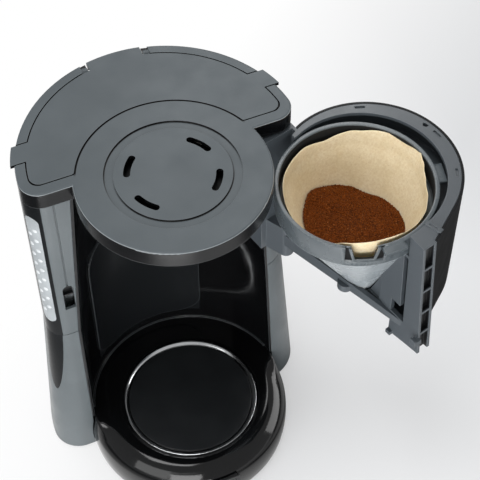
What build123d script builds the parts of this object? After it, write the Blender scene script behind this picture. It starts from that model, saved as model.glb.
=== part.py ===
from build123d import *
import os
from math import acos, atan2, cos, degrees, hypot, radians, sin, sqrt

# Drip coffee maker with a swing-out filter basket, in millimetres.
# Z = 0 is the table, +Z is up, the front faces -Y, and the brew head's axis is the Z axis.

# Overall sizes
total_height = 355.0
cap_height = 15.0
cap_plate = 3.0
cap_round = 1.6
upper_height = 185.0
deck_z = 44.0
deck_plate = 3.0
foot_height = 3.0
wall = 2.6
liner_wall = 2.0
fit_gap = 0.3
seam_groove = 0.6

# Plan of the housing: a large rear arc cut by a flat front, with rounded front corners
body_radius = 110.0
body_center_y = 25.0
front_y = 17.6
corner_radius = 16.0
right_corner_extra = 11.0
foot_flare = 11.0
foot_corner = 24.0

# Carafe bay between the columns
bay_half_top = 74.0
bay_half_seam = 84.2
bay_rear_top = 81.0
bay_rear_low = 82.2
pad_width = 104.0
pad_shift = -10.5
pad_low_rise = 13.0
pad_high_rise = 44.0
pad_corner = 22.0
pad_depth = 1.2
liner_bead = 1.4

# Round brew head and its vents
head_radius = 75.0
groove_inner = 44.7
groove_outer = 51.9
groove_depth = 1.2
vent_radius = 34.6
vent_width = 5.4
vent_sweep = 27.0
vent_angle = 34.0
spray_radius = 48.0
spray_wall = 2.0
spray_hole = 1.5
spray_holes = 12
underplate = 1.6

# Tank lid
lid_rim = 8.0
lid_inner_radius = 72.6
lid_front_y = 27.0
lid_corner = 8.0
lid_tip_corner = 3.0
lid_gap = 1.0
lid_skin = 1.0
lid_rebate = 2.4
lid_tab_half = 23.3
lid_tab_reach = 0.4
finger_setback = 25.5
finger_width = 19.5
finger_reach = 3.0
ledge_width = 3.0
ledge_depth = 2.4
lid_pin_radius = 1.6
lid_pin_inset = 8.0
lid_pin_drop = 4.5
lid_barrel = 3.5
lid_boss_width = 5.0
lid_notch_side = 5.0
lid_notch_depth = 2.2

# Water tank
tank_wall = 2.0
tank_gap = 0.4
tank_floor_rise = 4.0
tank_left_clear = 12.4
tank_right_clear = 16.4
tank_top_gap = 0.4
spout_inset = 30.0
spout_drop = 10.0

# Level gauge in the left front corner
gauge_front_inset = 2.4
panel_trim = 3.6
tongue_trim = 3.4
gauge_side_rise = 20.4
gauge_depth = 1.4
gauge_gap = 0.15
window_width = 13.0
window_low_rise = 18.0
window_top_drop = 14.0
tongue_length = 82.0

# Latch slot in the left column
slot_strip = 1.3
slot_width = 9.0
slot_height = 31.0
slot_drop = 20.0
catch_rise = 15.5
catch_plate = 1.5
catch_reach = 5.0
groove_width = 1.4
groove_cut = 1.2

# Base, deck and hot plate
drum_bottom_radius = 89.5
drum_bulge_radius = 90.5
drum_bulge_rise = 16.0
deck_radius = 86.5
deck_round = 2.0
plate_y = -7.0
plate_radius = 55.5
plate_rise = 1.0
plate_boss_drop = 3.0
plate_lap = 2.6
ring_width = 4.4
ring_rise = 1.6
seat_clear = 2.1
seat_depth = 1.2
base_plate_thick = 2.5
post_radius = 5.0
post_clear = 12.4
post_angle = 24.5
screw_radius = 1.6
screw_head = 3.4
foot_radius = 9.0
foot_front_inset = 16.0
foot_front_angle = 45.0
foot_rear_inset = 18.0
foot_rear_angle = 50.0

# Heater and hoses under the deck
heater_radius = 6.0
heater_half = 30.0
heater_leg = 51.0
element_radius = 3.5
element_half = 40.0
element_leg = 33.0
hose_radius = 3.5
hose_bore = 2.4
hose_bend = 12.0
valve_length = 16.0
valve_radius = 7.5
riser_inset = 4.4
riser_clear = 22.2
riser_entry = 5.0
thermostat_radius = 9.0
thermostat_height = 7.0
fuse_radius = 2.2
fuse_length = 20.0

# Power switch in the front of the base, and the mains inlet at the back
switch_width = 22.0
switch_height = 16.0
switch_rise = 20.0
switch_depth = 22.0
switch_rim = 2.0
switch_wall = 1.6
rocker_gap = 0.5
rocker_swing_gap = 1.4
rocker_tilt = 8.0
rocker_depth = 6.0
rocker_pin = 1.2
lens_radius = 2.4
lens_depth = 1.2
inlet_rise = 21.0
inlet_radius = 6.0
inlet_flange = 9.0
inlet_flange_thick = 2.4
inlet_bore = 3.6
inlet_length = 16.0
bush_gap = 0.1

# Swing-out basket, drawn shut and then turned open about the hinge
hinge_inset = 21.6
block_half = 15.9
open_angle = 104.0
hinge_pin_radius = 3.0
hinge_play = 0.06
hinge_boss = 7.0
hinge_pin_depth = 11.0
basket_setback = 3.4
basket_skin = 2.0
basket_top_gap = 1.5
basket_height = 113.5
basket_wall = 2.2
basket_plate = 3.0
block_drop = 19.0
nose_radius = 6.5
nose_reach = 32.0
nose_height = 36.0
nose_wall = 2.2
nose_recess = 14.0
block_step = 18.4
block_gap = 0.8
shelf_gap = 0.4
bar_gap = 0.7
bar_depth = 12.5
bar_drop = 17.0
bar_end_rise = 4.0
bar_overlap = 7.0
bar_insert_gap = 1.5
bar_slot_lap = 1.8
bar_low_width = 19.0
bar_foot_width = 15.0
bar_foot_rise = 25.0
bar_foot_drop = 4.0
nub_width = 5.0
nub_reach = 3.0
nub_height = 4.0
web_thick = 4.0
web_bar_gap = 4.5
web_cone_gap = 1.5
web_step = 14.0
web_step_depth = 2.0
web_pocket_width = 11.0
web_pocket_height = 16.0
bar_cells = 5
bar_rib = 2.2
cell_depth = 4.0
hook_width = 6.0
hook_height = 5.0
hook_reach = 6.0
hook_lip = 1.6
hook_drop = 8.5
rail_thick = 4.0
rail_height = 6.5
rail_right_drop = 4.5
rail_right_lift = 3.0
rail_right_rise = 4.0
rail_boss_radius = 6.5
rail_boss_offset = 9.0
rail_boss_drop = 3.0
rail_boss_height = 7.0
outlet_gap = 2.0
flange_y = 6.0
mark_radius = 66.0
mark_long = 8.0
mark_wide = 2.4
mark_angles = (-33.0, -92.0, -128.0)
mark_hole_angle = -81.0
mark_hole = 2.3
flange_hole = 63.5
pad_spot = (-69.5, -3.0)
pad_turn = 15.0
pad_size = (14.0, 4.5, 0.9)
pad_slot = (8.0, 1.4, 0.6)

# Filter insert, paper and grounds
insert_x = -1.5
insert_y = 14.2
insert_radius = 63.0
insert_band = 3.6
insert_drop = 2.5
insert_height = 20.0
insert_gap = 0.5
insert_round = 0.8
tab_angles = (-117.0, 166.0)
tab_width = 18.0
tab_reach = 5.4
tab_thick = 3.0
cone_wall = 2.0
cone_margin = 5.5
cone_low_rise = 4.2
cone_low_long = 26.0
cone_low_short = 11.0
notch_angle = 146.0
notch_width = 29.0
notch_depth = 15.0
lip_top = 24.0
lip_low = 17.0
lip_wall = 1.6
notch_skin = 1.2
lip_drop = 1.0
lip_inset = 0.5
lip_depth = 2.0
lip_sink = 0.2
paper_gap = 0.9
paper_thick = 0.8
paper_low_rise = 14.0
paper_top_drop = 11.0
grounds_gap = 0.3
grounds_drop = 40.0
grounds_dome = 90.0

# Drip-stop valve in the insert's outlet
outlet_radius = 9.0
outlet_bore = 6.0
outlet_drop = 12.0
stem_radius = 2.5
valve_travel = 5.0
button_radius = 8.0
button_thick = 3.0
button_clear = 3.0
seal_radius = 8.0
seal_thick = 2.0
spring_radius = 5.0
spring_wire = 1.0

# Heights and places that follow from these
cap_z = total_height - cap_height
seam_z = total_height - upper_height
cap_under = total_height - cap_plate
deck_under = deck_z - deck_plate
body_rear_y = body_center_y + body_radius
hinge_x = body_radius - hinge_inset
hinge_y = front_y + block_half
pocket_y = hinge_y + block_half + block_gap
wall_end_y = hinge_y + block_half * sin(radians(open_angle - 90.0)) + wall
basket_radius = head_radius - basket_setback
basket_top_z = cap_z - basket_top_gap
basket_low_z = basket_top_z - basket_height
block_low_z = basket_low_z - block_drop
nose_z = block_low_z + nose_height
block_step_x = hinge_x - block_step
shelf_z = block_low_z - shelf_gap
insert_top_z = basket_top_z - insert_drop
insert_low_z = insert_top_z - insert_height
cone_low_z = basket_low_z + cone_low_rise
cone_top_radius = insert_radius - cone_margin
paper_low_z = cone_low_z + paper_low_rise
paper_high_z = insert_top_z - paper_top_drop
grounds_top_z = insert_top_z - grounds_drop
slot_low_z = basket_low_z - slot_drop
slot_high_z = slot_low_z + slot_height
catch_z = slot_low_z + catch_rise
slot_share = (slot_low_z + slot_height / 2 - seam_z) / (cap_z - seam_z)
slot_bay_half = bay_half_seam + (bay_half_top - bay_half_seam) * slot_share
slot_x = -(slot_bay_half + liner_wall + fit_gap + slot_strip + slot_width / 2)
bar_low_z = basket_low_z - bar_drop
bar_top_outer = -(bay_half_top + bar_overlap)
bar_top_inner = insert_x - insert_radius - bar_insert_gap
bar_low_outer = slot_x - bar_slot_lap
bar_low_inner = bar_low_outer + bar_low_width
rail_left = (bar_low_inner - rail_thick / 2, front_y - bar_gap - rail_thick * 0.75)
rail_right = (hinge_x - nose_reach, hinge_y + rail_right_rise)
corner_x = sqrt((body_radius - corner_radius) ** 2 - (front_y + corner_radius - body_center_y) ** 2)
gauge_front_x = -corner_x - gauge_front_inset
gauge_side_y = front_y + gauge_side_rise
window_low_z = seam_z + window_low_rise
window_high_z = cap_z - window_top_drop
tongue_tip_z = seam_z - tongue_length
pad_low_z = deck_z + pad_low_rise
pad_high_z = seam_z + pad_high_rise
finger_low_y = lid_front_y + finger_setback
finger_high_y = finger_low_y + finger_width
tank_floor_z = seam_z + tank_floor_rise
tank_left_y = front_y + tank_left_clear
tank_right_x = hinge_x - tank_right_clear
spout_x = -heater_half
spout_y = body_rear_y - spout_inset
heater_end_y = plate_y + heater_leg
element_end_y = plate_y + element_leg
riser_x = hinge_x - riser_inset
riser_y = pocket_y + wall + riser_clear
riser_end_radius = spray_radius - riser_entry
seat_radius = plate_radius + fit_gap + ring_width + seat_clear
post_x = (seat_radius + post_clear) * cos(radians(post_angle))
post_y = plate_y - (seat_radius + post_clear) * sin(radians(post_angle))
drum_bulge_z = foot_height + drum_bulge_rise
switch_z = foot_height + switch_rise
inlet_z = foot_height + inlet_rise
lid_pin_y = body_rear_y - lid_pin_inset
lid_pin_z = total_height - lid_pin_drop
plate_top_z = deck_z + plate_rise
plate_low_z = deck_z - seat_depth - plate_boss_drop
heater_z = plate_low_z - fit_gap - heater_radius
reach = 3.0 * body_radius


# Small building blocks
def block(x0, x1, y0, y1, z0, z1):
    center = ((x0 + x1) / 2, (y0 + y1) / 2, (z0 + z1) / 2)
    return Pos(*center) * Box(x1 - x0, y1 - y0, z1 - z0)


def rod(x, y, z0, z1, radius):
    return Pos(x, y, (z0 + z1) / 2) * Cylinder(radius, z1 - z0)


def lift(plan, z0, z1):
    return extrude(Pos(0, 0, z0) * plan, z1 - z0)


def shaft_x(x0, x1, y, z, radius):
    return Pos((x0 + x1) / 2, y, z) * Rot(0, 90, 0) * Cylinder(radius, x1 - x0)


def shaft_y(x, y0, y1, z, radius):
    return Pos(x, (y0 + y1) / 2, z) * Rot(90, 0, 0) * Cylinder(radius, y1 - y0)


def rounded_top(solid, radius):
    return fillet(solid.edges().group_by(Axis.Z)[-1], radius)


def arc_between(half, y_front, y_rear):
    depth = y_rear - y_front
    radius = (half * half + depth * depth) / (2 * depth)
    return y_rear - radius, radius


def tube(points, radius, bend):
    path = FilletPolyline(*points, radius=bend)
    section = Plane(origin=path @ 0, z_dir=path % 0) * Circle(radius)
    return sweep(section, path=path)


# Housing plan, grown or shrunk by an inset, at the top or at the flared foot
def arc_plan(radius, y0, corner, right_extra=0.0):
    half = sqrt(radius**2 - (y0 - body_center_y) ** 2)
    rear = ThreePointArc((half, y0), (0, body_center_y + radius), (-half, y0))
    front = Line((-half, y0), (half, y0))
    plan = make_face(Curve() + [rear, front])
    plan = fillet(plan.vertices().sort_by(Axis.X)[0], corner)
    return fillet(plan.vertices().sort_by(Axis.X)[-1], corner + right_extra)


def body_plan(inset=0.0, flare=0.0, corner=corner_radius, right_extra=0.0):
    return arc_plan(body_radius + flare - inset, front_y - flare + inset, corner - inset, right_extra)


def column_plan(inset=0.0, flare=0.0, corner=corner_radius):
    return body_plan(inset, flare, corner, right_corner_extra)


def upper_block(inset=0.0, over=0.0):
    return lift(column_plan(inset), seam_z - over, cap_z + over)


def lower_block(inset=0.0):
    foot = Pos(0, 0, foot_height) * column_plan(inset, foot_flare, foot_corner)
    seam = Pos(0, 0, seam_z) * column_plan(inset)
    return loft([foot, seam])


# Space of the carafe bay: upright below the seam, leaning in above it
def bay(grow=0.0, low=deck_z, over=0.0):
    low_y, low_radius = arc_between(bay_half_seam, front_y, bay_rear_low)
    top_y, top_radius = arc_between(bay_half_top, front_y, bay_rear_top)
    share = (cap_z + over - seam_z) / (cap_z - seam_z)
    end_y = low_y + (top_y - low_y) * share
    end_radius = low_radius + (top_radius - low_radius) * share
    lower = rod(0, low_y, low, seam_z, low_radius + grow)
    seam = Pos(0, low_y, seam_z) * Circle(low_radius + grow)
    top = Pos(0, end_y, cap_z + over) * Circle(end_radius + grow)
    return lower + loft([seam, top])


# Black base drum, round about the head's axis
def drum(inset=0.0, top=0.0):
    z_top = deck_z - top
    low = (drum_bottom_radius - inset, foot_height)
    side = (drum_bulge_radius - inset, drum_bulge_z)
    high = (deck_radius - inset, z_top)
    edge = ThreePointArc(low, side, high)
    rest = Polyline(high, (0, z_top), (0, foot_height), low)
    profile = make_face(Curve() + [edge, rest])
    shoulder = profile.vertices().sort_by_distance((high[0], high[1], 0))[0]
    profile = fillet(shoulder, deck_round)
    return revolve(Plane.XZ * profile, Axis.Z)


# Plane that faces out of the left front corner, where the gauge sits
gauge_side_x = -sqrt(body_radius**2 - (gauge_side_y - body_center_y) ** 2)
gauge_chord = Vector(gauge_side_x - gauge_front_x, gauge_side_y - front_y, 0)
gauge_out = Vector(-gauge_chord.Y, gauge_chord.X, 0).normalized()
gauge_mid = Vector((gauge_side_x + gauge_front_x) / 2, (gauge_side_y + front_y) / 2, 0)
gauge_reach = 2 * corner_radius


def gauge_prism(shape, z):
    origin = gauge_mid - gauge_out * gauge_reach + Vector(0, 0, z)
    plane = Plane(origin=origin, x_dir=gauge_chord * -1, z_dir=gauge_out)
    return extrude(plane * shape, 3 * gauge_reach)


def window_prism(grow=0.0):
    height = window_high_z - window_low_z + 2 * grow
    shape = SlotOverall(height, window_width + 2 * grow, rotation=90)
    return gauge_prism(shape, (window_low_z + window_high_z) / 2)


def gauge_zone(grow=0.0):
    x1 = gauge_front_x - panel_trim + grow
    y1 = gauge_side_y + grow
    return block(-reach, x1, -reach, y1, seam_z - 1, cap_z + 1)


def tongue_prism(grow=0.0):
    half = (gauge_chord.length - tongue_trim) / 2 + grow
    drop = seam_z - tongue_tip_z + grow
    oval = Pos(-tongue_trim / 2, 0) * Ellipse(half, drop)
    upper_half = Pos(0, drop) * Rectangle(3 * half, 2 * drop)
    return gauge_prism(oval - upper_half, seam_z)


# Base
def base_shell():
    _, bay_radius = arc_between(bay_half_seam, front_y, bay_rear_low)
    bay_y = bay_rear_low - bay_radius
    trim_y = front_y - foot_flare
    shell = drum() - drum(wall, deck_plate)
    behind = block(-reach, reach, trim_y, reach, 0, deck_z + 1)
    shell -= behind - rod(0, bay_y, deck_under, deck_z + 1, bay_radius + liner_wall)
    shell -= rod(0, plate_y, deck_z - seat_depth, deck_z + 1, seat_radius)
    shell -= rod(0, plate_y, 0, deck_z, plate_radius - plate_lap)
    for x in (-post_x, post_x):
        post = rod(x, post_y, foot_height + base_plate_thick, deck_under, post_radius)
        shell += post - rod(x, post_y, 0, deck_under - wall, screw_radius)
    half_w = switch_width / 2 + fit_gap
    half_h = switch_height / 2 + fit_gap
    shell -= block(-half_w, half_w, -reach, plate_y - seat_radius, switch_z - half_h, switch_z + half_h)
    return shell


def base_plate():
    plan = column_plan(wall + fit_gap, foot_flare, foot_corner)
    plan += Circle(drum_bottom_radius - wall - fit_gap)
    plate = lift(plan, foot_height, foot_height + base_plate_thick)
    for x in (-post_x, post_x):
        plate -= rod(x, post_y, 0, deck_z, screw_radius + fit_gap)
    return plate


def rubber_feet():
    front = drum_bottom_radius - foot_front_inset
    rear = body_radius + foot_flare - foot_rear_inset
    front_x = front * cos(radians(foot_front_angle))
    front_y0 = -front * sin(radians(foot_front_angle))
    rear_x = rear * cos(radians(foot_rear_angle))
    rear_y0 = body_center_y + rear * sin(radians(foot_rear_angle))
    spots = [(side * x, y) for x, y in ((front_x, front_y0), (rear_x, rear_y0)) for side in (-1, 1)]
    return [rod(x, y, 0, foot_height, foot_radius) for x, y in spots]


def base_screws():
    screws = []
    for x in (-post_x, post_x):
        head = rod(x, post_y, foot_height - 1.6, foot_height, screw_head)
        shank = rod(x, post_y, foot_height, deck_under - 2 * wall, screw_radius - 0.05)
        screws.append(head + shank)
    return screws


# Housings and liner
def lower_housing():
    shell = lower_block() - lower_block(wall)
    shell -= block(-reach, reach, -reach, reach, seam_z - seam_groove, seam_z + 1) - lower_block(seam_groove)
    shell -= bay(liner_wall + fit_gap, low=0)
    shell -= drum(-fit_gap)
    inlay = (lower_block() - lower_block(gauge_depth)) & tongue_prism(gauge_gap)
    shell -= inlay
    rear = body_rear_y + foot_flare
    shell -= shaft_y(0, rear - 2 * inlet_length, rear + inlet_length, inlet_z, inlet_radius + bush_gap)
    return shell


def gauge_tongue():
    return (lower_block() - lower_block(gauge_depth)) & tongue_prism()


def upper_housing():
    solid = upper_block()
    space = bay(liner_wall + fit_gap, low=seam_z - 1, over=1)
    shell = solid - upper_block(wall, over=1)
    groove = block(-reach, reach, -reach, reach, seam_z - 1, seam_z + seam_groove)
    shell -= groove - upper_block(seam_groove, over=1)
    shell -= block(0, reach, -reach, wall_end_y, shelf_z, cap_z + 1)
    back = block(0, reach, pocket_y, pocket_y + wall, shelf_z - wall, cap_z)
    shelf = block(0, reach, -reach, pocket_y + wall, shelf_z - wall, shelf_z)
    shell += (back + shelf) & solid
    shell -= space
    boss = rod(hinge_x, hinge_y, shelf_z - wall - hinge_pin_depth, shelf_z - wall, hinge_boss)
    shell += boss
    shell -= rod(hinge_x, hinge_y, shelf_z - hinge_pin_depth, cap_z, hinge_pin_radius + 0.02)
    x0 = slot_x - slot_width / 2
    x1 = slot_x + slot_width / 2
    arch_z = slot_high_z - slot_width / 2
    shell -= block(x0, x1, 0, front_y + 2 * wall, slot_low_z, arch_z)
    shell -= shaft_y(slot_x, 0, front_y + 2 * wall, arch_z, slot_width / 2)
    g0 = slot_x - groove_width / 2
    shell -= block(g0, g0 + groove_width, 0, front_y + groove_cut, slot_high_z, cap_z + 1)
    shell -= (solid - upper_block(gauge_depth, over=1)) & gauge_zone(gauge_gap)
    shell -= window_prism(gauge_gap) & gauge_zone()
    return shell


def gauge_panel():
    skin = upper_block() - upper_block(gauge_depth, over=1)
    return (skin & gauge_zone()) - window_prism(gauge_gap)


def gauge_window():
    return (upper_block() - upper_block(wall, over=1)) & window_prism()


def bay_liner():
    space = bay()
    ring = bay(liner_wall) - space
    pad = space - bay(-pad_depth)
    middle_z = (pad_low_z + pad_high_z) / 2
    shape = RectangleRounded(pad_width, pad_high_z - pad_low_z, pad_corner)
    pad &= extrude(Plane(origin=(pad_shift, 0, middle_z), x_dir=(-1, 0, 0), z_dir=(0, 1, 0)) * shape, reach)
    bead = (space - bay(-liner_bead)) & block(-reach, reach, front_y, reach, deck_z, deck_z + liner_bead)
    liner = (ring & (upper_block() + lower_block())) + pad + bead
    return liner - block(0, reach, -reach, pocket_y - fit_gap, shelf_z - wall - fit_gap, cap_z + 1)


def latch_catch():
    y0 = front_y + wall
    y1 = y0 + catch_reach
    x0 = slot_x - slot_width / 2
    x1 = slot_x + slot_width / 2
    top_z = slot_high_z + 2 * catch_plate
    ledge = block(x0, x1, y0, y1, catch_z, catch_z + catch_plate)
    leg = block(x0, x1, y1 - catch_plate, y1, catch_z, top_z)
    return ledge + leg + block(x0, x1, y0, y1, top_z - catch_plate, top_z)


# Top cover and brew head
def cover_plan(inset=0.0):
    return body_plan(inset) + Circle(head_radius - inset)


def lid_field(gap):
    field = arc_plan(body_radius - lid_rim - gap, lid_front_y + gap, lid_corner)
    field -= Circle(lid_inner_radius + gap)
    tips = [v for v in field.vertices() if abs(v.X) < head_radius and v.Y < lid_front_y + gap + 1]
    return fillet(tips, lid_tip_corner)


def lid_tabs(gap):
    rear_edge = body_rear_y - lid_tab_reach
    y0 = lid_pin_y - lid_barrel - lid_rim
    tab = Pos(0, (y0 + rear_edge) / 2) * Rectangle(2 * (lid_tab_half - gap), rear_edge - y0)
    tab &= body_plan(lid_tab_reach)
    finger_y = (finger_low_y + finger_high_y) / 2
    fingers = Pos(0, finger_y) * Rectangle(2 * reach, finger_high_y - finger_low_y - 2 * gap)
    fingers &= body_plan(-finger_reach, 0, corner_radius)
    fingers -= body_plan(lid_rim + 2 * lid_gap)
    return tab + fingers


def top_cover():
    cover = rounded_top(lift(body_plan(), cap_z, total_height), cap_round)
    cover += rounded_top(lift(Circle(head_radius), cap_z, total_height), cap_round)
    cover -= lift(cover_plan(wall), cap_z - 1, cap_under)
    ledge_top = cap_under - fit_gap / 2
    ledge = lift(lid_field(-wall), ledge_top - ledge_depth, ledge_top)
    ledge -= lift(lid_field(ledge_width), 0, total_height)
    cover += ledge
    cover -= lift(lid_field(0), ledge_top, total_height + 1)
    cover -= lift(lid_tabs(0), cap_under - fit_gap, total_height + 1)
    well_y = lid_pin_y - lid_barrel - lid_rim
    cover -= block(-lid_tab_half, lid_tab_half, well_y, reach, cap_z + 1.8, total_height + 1)
    notch = lid_tab_half + lid_notch_side
    notch_y = lid_pin_y - lid_barrel - 2 * lid_gap
    cover -= block(-notch, notch, notch_y, reach, total_height - lid_notch_depth, total_height + 1)
    x0 = lid_tab_half
    x1 = lid_tab_half + lid_boss_width
    for low, high in ((-x1, -x0), (x0, x1)):
        boss = shaft_x(low, high, lid_pin_y, lid_pin_z, lid_barrel)
        boss += block(low, high, lid_pin_y - lid_barrel, lid_pin_y + lid_barrel, lid_pin_z, cap_under)
        cover += boss
    cover -= shaft_x(-x1, x1, lid_pin_y, lid_pin_z, lid_pin_radius + 0.02)
    cover += rod(hinge_x, hinge_y, cap_z, cap_under, hinge_boss)
    cover -= rod(hinge_x, hinge_y, 0, cap_z + hinge_pin_depth, hinge_pin_radius + 0.02)
    groove = Circle(groove_outer) - Circle(groove_inner)
    cover -= lift(groove, total_height - groove_depth, total_height + 1)
    for middle in (vent_angle, 180 - vent_angle, 180 + vent_angle, -vent_angle):
        arc = CenterArc((0, 0), vent_radius, middle - vent_sweep / 2, vent_sweep)
        cover -= lift(SlotArc(arc, vent_width), cap_under - 1, total_height + 1)
    return cover


def spray_head():
    floor_z = cap_z + underplate / 2
    head = rod(0, 0, floor_z, cap_under, spray_radius)
    head -= rod(0, 0, floor_z + spray_wall, cap_under + 1, spray_radius - spray_wall)
    for turn in range(spray_holes):
        angle = 2 * radians(180) * turn / spray_holes
        ring = spray_radius * (0.3 if turn % 2 else 0.62)
        head -= rod(ring * cos(angle), ring * sin(angle), 0, floor_z + 2 * spray_wall, spray_hole)
    return head - tube(riser_points(), hose_radius + 0.1, hose_bend)


def head_underplate():
    disc = rod(0, 0, cap_z, cap_z + underplate, head_radius - wall - fit_gap)
    return disc - rod(0, 0, 0, total_height, spray_radius + fit_gap)


# Tank lid and its pin
def tank_lid():
    skin_z = total_height - lid_skin
    lid = lift(lid_field(lid_gap), skin_z, total_height)
    lid += lift(lid_field(lid_gap + lid_rebate), cap_under, total_height)
    lid += lift(lid_tabs(lid_gap), cap_under, total_height)
    half = lid_tab_half - lid_gap
    lid += shaft_x(-half, half, lid_pin_y, lid_pin_z, lid_barrel)
    lid += block(-half, half, lid_pin_y - lid_barrel, lid_pin_y + lid_barrel, lid_pin_z, total_height)
    return lid - shaft_x(-reach, reach, lid_pin_y, lid_pin_z, lid_pin_radius + hinge_play)


def lid_hinge_pin():
    half = lid_tab_half + lid_boss_width
    return shaft_x(-half, half, lid_pin_y, lid_pin_z, lid_pin_radius)


# Water tank, hoses and heater
def tank_space(inset, z0, z1):
    space = lift(body_plan(wall + inset), z0, z1)
    space -= bay(liner_wall + inset, low=seam_z - 1, over=cap_height)
    space -= block(0, reach, -reach, pocket_y + wall + inset, 0, total_height)
    space -= block(-reach, 0, -reach, tank_left_y + inset, 0, total_height)
    return space - block(tank_right_x - inset, reach, -reach, reach, 0, total_height)


def water_tank():
    tank = tank_space(tank_gap, tank_floor_z, cap_z - tank_top_gap)
    tank -= tank_space(tank_gap + tank_wall, tank_floor_z + tank_wall, cap_z + 1)
    tank += rod(spout_x, spout_y, tank_floor_z - spout_drop, tank_floor_z, hose_radius)
    return tank - rod(spout_x, spout_y, 0, tank_floor_z + 2 * tank_wall, hose_bore)


def inlet_points():
    start = (spout_x, spout_y, tank_floor_z - spout_drop)
    return [start, (spout_x, spout_y, heater_z), (spout_x, heater_end_y + valve_length, heater_z)]


def inlet_hose():
    points = inlet_points()
    return tube(points, hose_radius, hose_bend) - tube(points, hose_bore, hose_bend)


def check_valve():
    y0 = heater_end_y
    body = shaft_y(spout_x, y0, y0 + valve_length, heater_z, valve_radius)
    return body - shaft_y(spout_x, y0 - 1, y0 + valve_length + 1, heater_z, hose_bore)


def riser_points():
    top_z = cap_z + underplate + fit_gap + hose_radius
    share = riser_end_radius / hypot(riser_x, riser_y)
    start = (-spout_x, heater_end_y, heater_z)
    low = [start, (-spout_x, riser_y, heater_z), (riser_x, riser_y, heater_z)]
    return low + [(riser_x, riser_y, top_z), (riser_x * share, riser_y * share, top_z)]


def riser_tube():
    points = riser_points()
    return tube(points, hose_radius, hose_bend) - tube(points, hose_bore, hose_bend)


def bent_heater(half, end_y, radius):
    bend = half * 0.98
    points = [
        (-half, end_y, heater_z),
        (-half, plate_y - half, heater_z),
        (half, plate_y - half, heater_z),
        (half, end_y, heater_z),
    ]
    return tube(points, radius, bend)


def heater_tube():
    return bent_heater(-spout_x, heater_end_y, heater_radius)


def heating_element():
    return bent_heater(element_half, element_end_y, element_radius)


def thermostat():
    top = plate_low_z - fit_gap
    return rod(0, plate_y, top - thermostat_height, top, thermostat_radius)


def thermal_fuses():
    low = heater_z - heater_radius - fuse_radius - fit_gap
    return [shaft_y(x, plate_y, plate_y + fuse_length, low, fuse_radius) for x in (spout_x, -spout_x)]


def hot_plate():
    top = rod(0, plate_y, deck_z - seat_depth, plate_top_z, plate_radius)
    return top + rod(0, plate_y, plate_low_z, deck_z, plate_radius - plate_lap - fit_gap)


def hot_plate_ring():
    low = deck_z - seat_depth
    outer = rod(0, plate_y, low, plate_top_z + ring_rise - plate_rise, plate_radius + fit_gap + ring_width)
    ring = outer - rod(0, plate_y, 0, total_height, plate_radius + fit_gap)
    top_edges = ring.edges().group_by(Axis.Z)[-1]
    return fillet(top_edges, ring_width * 0.45)


# Power switch
switch_y = -drum_bulge_radius
rocker_y = switch_y + rocker_depth / 2


def switch_housing():
    half_w = switch_width / 2
    half_h = switch_height / 2
    low = switch_z - half_h
    high = switch_z + half_h
    body = block(-half_w, half_w, switch_y - switch_rim, switch_y + switch_depth, low, high)
    body += block(
        -half_w - switch_rim,
        half_w + switch_rim,
        switch_y - switch_rim,
        switch_y - fit_gap,
        low - switch_rim,
        high + switch_rim,
    )
    in_w = half_w - switch_wall
    in_h = half_h - switch_wall
    back_y = switch_y + switch_depth - switch_wall
    body -= block(-in_w, in_w, -reach, back_y, switch_z - in_h, switch_z + in_h)
    return body - shaft_x(-half_w - 1, half_w + 1, rocker_y, switch_z, rocker_pin + hinge_play)


def rocker_turn(shape):
    return Pos(0, rocker_y, switch_z) * Rot(-rocker_tilt, 0, 0) * shape


def rocker_lens_cut():
    half_h = switch_height / 2 - switch_wall - rocker_swing_gap
    front = -rocker_depth / 2 - switch_rim
    return shaft_y(0, front - 1, front + lens_depth, half_h * 0.5, lens_radius)


def power_rocker():
    half_w = switch_width / 2 - switch_wall - rocker_gap
    half_h = switch_height / 2 - switch_wall - rocker_swing_gap
    front = -rocker_depth / 2 - switch_rim
    drop = half_h * sin(radians(rocker_tilt))
    face = Polyline((front - drop, half_h), (front, 0), (front - drop, -half_h))
    back = ThreePointArc((front - drop, -half_h), (rocker_depth / 2, 0), (front - drop, half_h))
    side = make_face(Curve() + [face, back])
    rocker = extrude(Plane.YZ * side, half_w, both=True)
    rocker += shaft_x(-switch_width / 2, switch_width / 2, 0, 0, rocker_pin)
    return rocker_turn(rocker - rocker_lens_cut())


def rocker_lens():
    half_h = switch_height / 2 - switch_wall - rocker_swing_gap
    front = -rocker_depth / 2 - switch_rim
    return rocker_turn(shaft_y(0, front - 0.4, front + lens_depth - 0.1, half_h * 0.5, lens_radius - 0.1))


def cord_inlet():
    slope = foot_flare * (inlet_z - foot_height) / (seam_z - foot_height)
    rear = body_rear_y + foot_flare - slope
    bush = shaft_y(0, rear - inlet_length, rear, inlet_z, inlet_radius)
    bush += shaft_y(0, rear + 1.2, rear + 1.2 + inlet_flange_thick, inlet_z, inlet_flange)
    bush += shaft_y(0, rear - 1, rear + 2, inlet_z, inlet_radius)
    return bush - shaft_y(0, 0, reach, inlet_z, inlet_bore)


# Basket pieces, drawn shut
def swing(shape):
    turn = Pos(hinge_x, hinge_y) * Rot(0, 0, open_angle) * Pos(-hinge_x, -hinge_y)
    return turn * shape


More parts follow.
